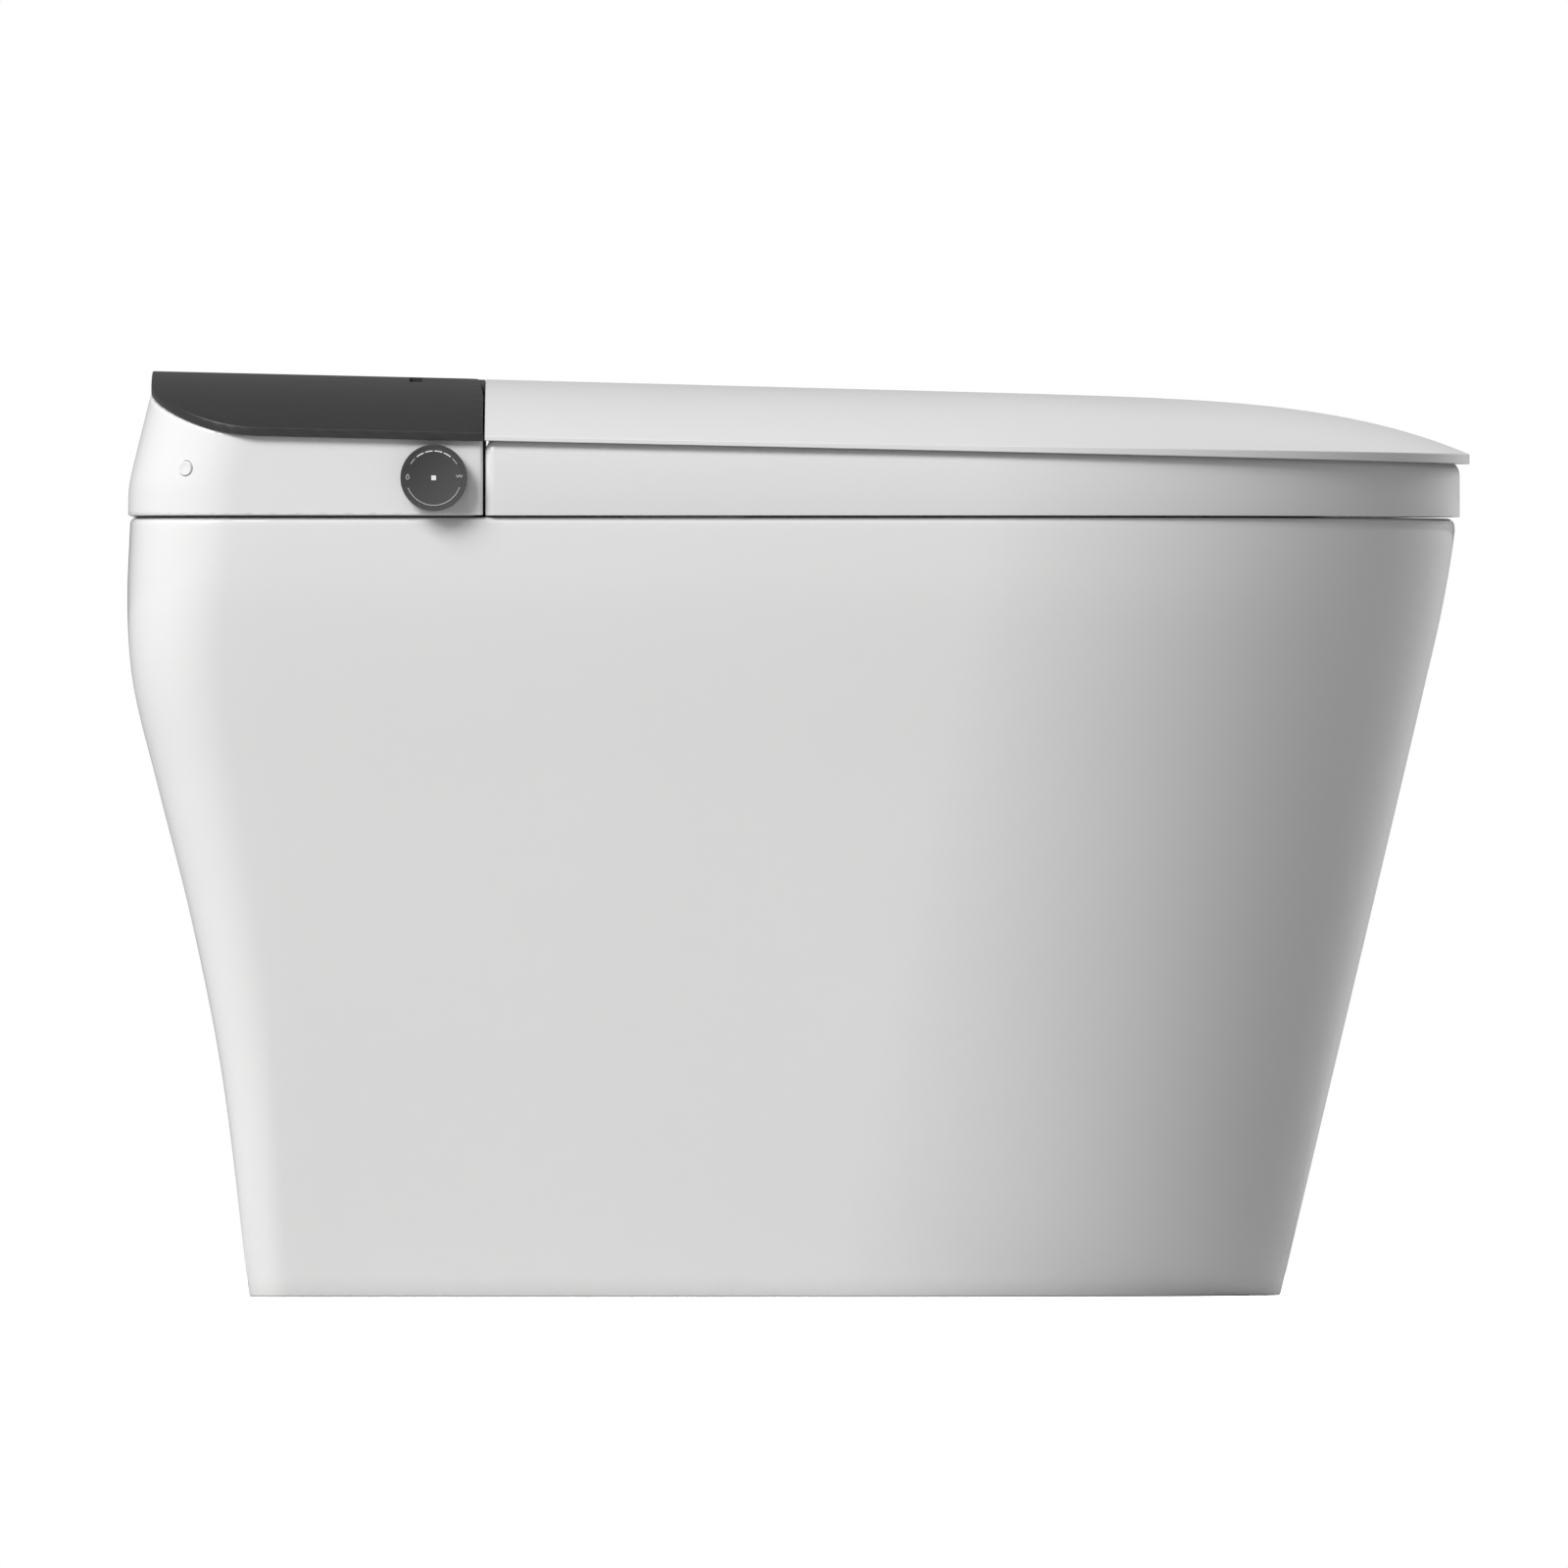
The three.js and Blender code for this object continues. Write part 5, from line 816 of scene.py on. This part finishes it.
def hole_outline(grow):
    """The hole's ellipse, on the same spokes as the seat's outline."""
    x, y = seat_outline([0])
    spoke = np.arctan2(y / HOLE_HALF, (x - HOLE_X) / ((HOLE_FRONT - HOLE_REAR) / 2))
    grow = np.asarray(grow, float).reshape(-1, 1)
    return HOLE_X + ((HOLE_FRONT - HOLE_REAR) / 2 + grow) * np.cos(spoke), (HOLE_HALF + grow) * np.sin(spoke)


def make_seat():
    """A closed ring: up the outside, over the top, down the hole and back along the recess for the base."""
    foot = SEAT_LOW.z

    def top(x, depth):
        return lid_edge(x) + 2 * MM - depth

    small = np.linspace(0, math.pi / 2, 4)
    base_x, base_y = seat_outline(0.5 * MM * (1 - np.sin(small)))
    base = (base_x, base_y, foot + (0.5 * MM * (1 - np.cos(small)))[:, None] + 0 * base_x)
    turn = np.linspace(0, math.pi / 2, 9)
    out_x, out_y = seat_outline(SEAT_ROUND * (1 - np.cos(turn)))
    outer = (out_x, out_y, top(out_x, (SEAT_ROUND * (1 - np.sin(turn)))[:, None]))
    dish = 2.4 * MM
    hole_turn = np.linspace(math.pi / 2, 0, 9)
    in_x, in_y = hole_outline(HOLE_ROUND * (1 - np.cos(hole_turn)))
    inner = (in_x, in_y, top(in_x, (dish + HOLE_ROUND * (1 - np.sin(hole_turn)))[:, None]))
    shares = np.linspace(0, 1, 14)[1:-1]
    mid_x, mid_y = between((out_x[-1:], out_y[-1:]), (in_x[:1], in_y[:1]), shares)
    middle = (mid_x, mid_y, top(mid_x, (dish * (3 * shares**2 - 2 * shares**3))[:, None]))
    rim_x, rim_y = hole_outline([0, 0.6 * MM, SEAT_WALL, SEAT_WALL])
    rim = (rim_x, rim_y, foot + np.array([0.8 * MM, 0, 0, 4.6 * MM])[:, None] + 0 * rim_x)
    lip_x, lip_y = seat_outline([SEAT_WALL, SEAT_WALL])
    lip = (lip_x, lip_y, foot + np.array([4.6 * MM, 0])[:, None] + 0 * lip_x)
    grid = np.concatenate([np.stack(rows, axis=-1) for rows in (base, outer, middle, inner, rim, lip)])
    return grid_object("seat_ring", grid, loop_rows=True, sharp=40)


def bar_solid(name, outline, y0, y1):
    """A solid bar from an outline of (x, z) points, between two values of y."""
    count = len(outline)
    points = [(x, y, z) for y in (y0, y1) for x, z in outline]
    faces = [tuple(range(count)), tuple(range(2 * count - 1, count - 1, -1))]
    faces += [(i, i + count, (i + 1) % count + count, (i + 1) % count) for i in range(count)]
    mesh = bpy.data.meshes.new(name)
    mesh.from_pydata(points, [], faces)
    work = bmesh.new()
    work.from_mesh(mesh)
    bmesh.ops.recalc_face_normals(work, faces=work.faces)
    work.to_mesh(mesh)
    work.free()
    made = bpy.data.objects.new(name, mesh)
    bpy.context.scene.collection.objects.link(made)
    return made


seat = make_seat()
hood_low, hood_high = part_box("nozzle_hood")
hood_front = hood_high.x - 3 * MM
notch = bar_solid("hood_room", [
    (SEAT_LOW.x - 6 * MM, DECK - 5 * MM), (HOLE_REAR + 30 * MM, DECK - 5 * MM),
    (HOLE_REAR + 30 * MM, DECK + 20 * MM), (hood_front + 7 * MM, DECK + 20 * MM),
    (hood_front - 5 * MM, DECK + 27.2 * MM),
    (SEAT_LOW.x - 6 * MM, hood_high.z + 2.5 * MM)], hood_low.y - 4 * MM, hood_high.y + 4 * MM)
carve(seat, [notch], sharp=40)
seat.data.materials.append(gloss_white)
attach(seat, "seat")
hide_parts("seat_shell")
dress("seat_base", satin_white, 0)
soft_white = moulding("white_elastomer", 0.78, 0.74, 0.6, 0.5)
for spot in ("rear_right", "rear_left", "front_right", "front_left"):
    dress("seat_buffer_" + spot, soft_white, 0.4 * MM)

foil = Finish("foil_heating_mat")
crease_inputs = {"Vector": foil.place, "Scale": 90.0}
creases = foil.node("ShaderNodeTexVoronoi", {"feature": "DISTANCE_TO_EDGE"}, crease_inputs, output="Distance")
foil.shine(
    Base_Color=grey(0.74),
    Metallic=1.0,
    Roughness=foil.noise(60.0) * 0.2 + 0.25,
    Normal=foil.bump(creases, 0.3 * MM, 0.4))
dress("seat_heater", foil.material, 0)


# ---- The control dial: a turned ring round a pressed face in dark metal with a painted light, and light printed marks.
# The ring turns, and face and ring go in together as a push button.
DIAL_LOW, DIAL_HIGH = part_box("dial_ring")
DIAL = Vector(((DIAL_LOW.x + DIAL_HIGH.x) / 2, DIAL_LOW.y, (DIAL_LOW.z + DIAL_HIGH.z) / 2))
DIAL_R = (DIAL_HIGH.x - DIAL_LOW.x) / 2
FACE_R = 14.8 * MM
face_front = DIAL.y + 0.1 * MM
ring_depth = DIAL_HIGH.y - DIAL_LOW.y
bore_r = FACE_R + 0.08 * MM
ring = turned("dial_ring_turned", [
    (bore_r, ring_depth), (bore_r, 0.2 * MM), (bore_r + 0.1 * MM, 0.1 * MM), (DIAL_R - 0.45 * MM, 0.1 * MM),
    (DIAL_R - 0.15 * MM, 0.18 * MM), (DIAL_R, 0.5 * MM), (DIAL_R, 0.9 * MM), (DIAL_R, ring_depth - 0.6 * MM),
    (DIAL_R - 0.4 * MM, ring_depth), (bore_r, ring_depth)], DIAL, (0, 1, 0), steps=128)
face_y = face_front - DIAL.y
stem_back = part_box("dial_face")[1].y - DIAL.y
face = turned("dial_face_disc", [
    (0, face_y), (FACE_R * 0.5, face_y + 0.02 * MM), (FACE_R - 0.1 * MM, face_y), (FACE_R, face_y + 0.1 * MM),
    (FACE_R, ring_depth - 0.2 * MM), (9.4 * MM, ring_depth), (9.4 * MM, ring_depth + 9.6 * MM),
    (3 * MM, ring_depth + 9.7 * MM), (3 * MM, stem_back), (0, stem_back)], DIAL, (0, 1, 0), steps=128)

spun = Finish("dark_spun_metal_painted_light")
from_axis = spun.node("ShaderNodeVectorMath", {"operation": "SUBTRACT"}, {0: spun.place, 1: DIAL})
flatten = spun.node("ShaderNodeVectorMath", {"operation": "MULTIPLY"}, {0: from_axis, 1: (1, 0, 1)})
reach = spun.node("ShaderNodeVectorMath", {"operation": "LENGTH"}, {0: flatten}, output="Value")
groove_inputs = {"W": reach, "Scale": 5200.0, "Detail": 3.0}
grooves = spun.node("ShaderNodeTexNoise", {"noise_dimensions": "1D"}, groove_inputs)
# The dial's colour carries a painted light: lighter towards its lower front and darker towards its upper
# rear, on ring and face alike.
painted_light_slant_inputs = {0: from_axis, 1: (0.7, 0, -0.7)}
painted_light_slant = spun.node("ShaderNodeVectorMath", {"operation": "DOT_PRODUCT"}, painted_light_slant_inputs, output="Value")
painted_light_share = spun.node("ShaderNodeMapRange", inputs={"Value": painted_light_slant, "From Min": -DIAL_R, "From Max": DIAL_R})
spun.shine(
    Base_Color=spun.blend(painted_light_share, grey(0.050), grey(0.115)),
    Metallic=0.35,
    Roughness=grooves * 0.14 + 0.34,
    Normal=spun.bump(grooves, 0.010 * MM, 0.35))
for piece, body, node, slot in (
        (ring, "dial_ring", "dial_ring", "dial_metal"), (face, "dial_push", "dial_face", "dial_black")):
    piece.data.materials.append(spun.material)
    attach(piece, body)
    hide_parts(node)

MARK_LIFT = 0.03 * MM


def stroke(name, path, width):
    """A thin raised line along (right, up) points on the dial's face: two edges on each side of the path."""
    path = np.array(path, float)
    ahead = np.gradient(path, axis=0)
    ahead /= np.linalg.norm(ahead, axis=1)[:, None]
    side = np.column_stack([-ahead[:, 1], ahead[:, 0]]) * width / 2
    edges = [path + side, path - side]
    front, back = face_front - MARK_LIFT, face_front + 0.05 * MM
    columns = [(edges[0], back), (edges[0], front), (edges[1], front), (edges[1], back)]
    grid = np.stack([np.column_stack([DIAL.x + e[:, 0], 0 * e[:, 0] + y, DIAL.z + e[:, 1]])
                     for e, y in columns], axis=1)
    return grid_object(name, grid, ends=[(0, 1, 2, 3), tuple(range(len(grid) * 4 - 4, len(grid) * 4))])


def arc_path(radius, start, end, steps):
    turn = np.radians(np.linspace(start, end, steps))
    return np.column_stack([radius * np.cos(turn), radius * np.sin(turn)])


THICK, THIN = 0.5 * MM, 0.22 * MM
SCALE_R = 13.7 * MM
dashes = [
    (149, 134, THIN), (129, 112, THICK), (108.5, 92, THICK),
    (88, 71.5, THICK), (68, 51, THICK), (46, 31, THIN)]
marks = [stroke("mark", arc_path(SCALE_R, start, end, 12), width) for start, end, width in dashes]
marks.append(stroke("mark", arc_path(14.0 * MM, 201, 340, 60), 0.2 * MM))
ripple_at = np.linspace(-1, 1, 25)
ripple_height = 0.9 * MM + 0.55 * MM * np.cos(2 * math.pi * ripple_at)
marks.append(stroke("mark", np.column_stack([13.1 * MM + 1.7 * MM * ripple_at, ripple_height]), THIN))
drop_turn = np.linspace(0, 2 * math.pi, 25)
drop_width = 0.95 * MM * np.sin(drop_turn) * np.sin(drop_turn / 2)
drop = np.column_stack([-13.3 * MM + drop_width, 0.6 * MM + 1.3 * MM * np.cos(drop_turn)])
marks.append(stroke("mark", drop[1:-1], THIN))
marks.append(stroke("mark", [(-1.2 * MM, 0), (0, 0), (1.2 * MM, 0)], 2.4 * MM))
with bpy.context.temp_override(active_object=marks[0], selected_editable_objects=marks):
    bpy.ops.object.join()
dial_marks = marks[0]
dial_marks.name = "dial_marks"
paint = Finish("white_mark_paint")
paint.shine(Base_Color=paint.blend(paint.noise(900.0), grey(0.80), grey(0.90)), Roughness=0.5)
dial_marks.data.materials.append(paint.material)
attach(dial_marks, "dial_push")

black_plastic = moulding("black_moulding", 0.030, 0.022, 0.45, 0.5)
dress("dial_bezel", black_plastic, 0.3 * MM)


# ---- The auxiliary button: a small turned cap in the rear corner, with a shallow finger dish.
# It stands just proud of the shell and slides in square to the corner.
inward = press_direction()
low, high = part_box("aux_button")
button_middle = (low + high) / 2
depth = 9.2 * MM
cap_front = button_middle - inward * depth / 2
cap_r = 3.75 * MM
button = turned("aux_button_cap", [
    (0, 0.35 * MM), (1.9 * MM, 0.24 * MM), (3.0 * MM, 0.05 * MM), (3.35 * MM, 0), (3.6 * MM, 0.12 * MM),
    (cap_r, 0.45 * MM), (cap_r, 5.2 * MM), (5.15 * MM, 5.2 * MM), (5.15 * MM, 6.6 * MM),
    (1.6 * MM, 6.6 * MM), (1.6 * MM, depth), (0, depth)],
    cap_front, inward, steps=64)
button.data.materials.append(gloss_white)
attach(button, "aux_button")
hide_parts("aux_button")
dress("aux_switch", black_plastic, 0.3 * MM)


# ---- Metal parts: hinge shafts, the dampers' bridge, bolts, the nozzle's tube and motor, the heater's tank.
# Drawn or pressed stainless steel, with fine lines along the drawing direction.
STEEL_SHADE = 0.60


def steel(name, stretch):
    """Steel with fine lines, drawn out along the axis whose stretch is small."""
    metal = Finish(name)
    drawn = metal.node("ShaderNodeMapping", inputs={"Vector": metal.place, "Scale": stretch})
    lines = metal.noise(900.0, 3.0, vector=drawn)
    return metal.shine(
        Base_Color=metal.blend(lines, grey(STEEL_SHADE * 0.92), grey(STEEL_SHADE * 1.06)),
        Metallic=1.0,
        Roughness=lines * 0.16 + 0.22,
        Normal=metal.bump(lines, 0.01 * MM, 0.3))


steel_along = steel("drawn_steel", (0.03, 1, 1))
steel_across = steel("ground_steel", (1, 0.03, 1))
for node in ("lid_hinge_shaft", "seat_hinge_shaft", "hinge_bridge"):
    dress(node, steel_across, 0.3 * MM)
for node in ("nozzle_tube", "nozzle_feed_pipe", "water_heater", "nozzle_motor",
             "deck_bolt_right", "deck_bolt_left"):
    dress(node, steel_along, 0.3 * MM)


# ---- The washing nozzle's mouldings, the flush spout and the inlet valve: satin white.
# The pinion, tray, cradle, dryer case and flush valve are grey glass-filled plastic.
for node in ("nozzle_tip", "nozzle_rack", "flush_spout", "inlet_valve"):
    dress(node, satin_white, 0.2 * MM)
grey_plastic = moulding("grey_filled_moulding", 0.22, 0.19, 0.5, 0.7)
for node in ("base_tray", "nozzle_cradle", "nozzle_pinion", "dryer_housing", "flush_valve"):
    dress(node, grey_plastic, 0.25 * MM)
for node in ("lid_damper", "seat_damper", "dryer_fan", "power_supply"):
    dress(node, black_plastic, 0.4 * MM)


# ---- Rubber: the outlet's ring, the flush hose, the bolts' plugs, the cord gland and the nozzle's grey hose.
# Matt, with a dusty bloom.
def elastomer(name, light, dark, roughness):
    """Rubber with a bloom in soft patches and a fine pitted skin."""
    rubber = Finish(name)
    bloom = rubber.noise(40.0, 4.0)
    pits = rubber.noise(1800.0, 2.0)
    return rubber.shine(
        Base_Color=rubber.blend(bloom, grey(dark), grey(light)),
        Roughness=bloom * 0.15 + roughness,
        Normal=rubber.bump(pits, 0.03 * MM, 0.4))


black_rubber = elastomer("black_rubber", 0.030, 0.018, 0.6)
for node in ("outlet_seal", "flush_hose", "deck_plug_right", "deck_plug_left", "cord_gland"):
    dress(node, black_rubber, 0.3 * MM)
dress("nozzle_hose", elastomer("grey_hose", 0.38, 0.32, 0.5), 0)


# ---- The odour filter: a carbon honeycomb in a black frame.
# The cells are about 3 mm across and run from front to back; their insides are painted near-black as painted
# shade.
filter_block = Finish("carbon_filter")
cell_inputs = {"Vector": filter_block.place, "Scale": 330.0}
cells = filter_block.node(
    "ShaderNodeTexVoronoi", {"feature": "DISTANCE_TO_EDGE"}, cell_inputs, output="Distance")
hole_depth_inputs = {"Value": cells, "From Min": 0.05, "From Max": 0.16}
hole_depth_and_shade = filter_block.node("ShaderNodeMapRange", inputs=hole_depth_inputs)
# The cells' middles are painted near-black, a painted shade in the holes, and the same mask also sinks them 1
# mm as a bump.
filter_block.shine(
    Base_Color=filter_block.blend(hole_depth_and_shade, grey(0.055), grey(0.006)),
    Roughness=0.8,
    Normal=filter_block.bump(hole_depth_and_shade, 1.0 * MM, 0.6))
dress("deodoriser_filter", filter_block.material, 0.4 * MM)


# ---- Brass supply connector, turned and plain, with a little tarnish.
# It takes the braided hose from the wall.
brass = Finish("turned_brass")
tarnish = brass.noise(60.0, 4.0)
brass.shine(
    Base_Color=brass.blend(tarnish, (0.42, 0.28, 0.10, 1), (0.68, 0.48, 0.20, 1)),
    Metallic=1.0,
    Roughness=tarnish * 0.25 + 0.22,
    Normal=brass.bump(brass.noise(1200.0), 0.01 * MM, 0.3))
dress("water_inlet", brass.material, 0.4 * MM)


# ---- Circuit boards: green solder mask over copper traces, under the dial and behind the unit's side.
# The traces show as slightly lighter lines.
board = Finish("green_circuit_board")
traces = board.node("ShaderNodeTexBrick", {"offset": 0.37, "squash": 1.4}, {
    "Vector": board.place, "Scale": 150.0, "Mortar Size": 0.035,
    "Color1": grey(0.0), "Color2": grey(0.1), "Mortar": grey(1.0)})
board.shine(
    Base_Color=board.blend(traces, (0.008, 0.085, 0.030, 1), (0.02, 0.19, 0.07, 1)),
    Roughness=board.noise(300.0) * 0.1 + 0.28,
    Normal=board.bump(traces, 0.05 * MM, 0.4))
for node in ("control_board", "dial_encoder"):
    dress(node, board.material, 0.15 * MM)


# ---- The night light's lens: a short rod of frosted clear plastic in the hood.
lens = Finish("frosted_lens")
lens.shine(
    Base_Color=lens.blend(lens.noise(200.0), (0.72, 0.82, 0.88, 1), (0.84, 0.91, 0.95, 1)),
    Roughness=lens.noise(900.0) * 0.1 + 0.15,
    Transmission_Weight=0.35,
    IOR=1.49)
dress("night_light_lens", lens.material, 0.3 * MM)
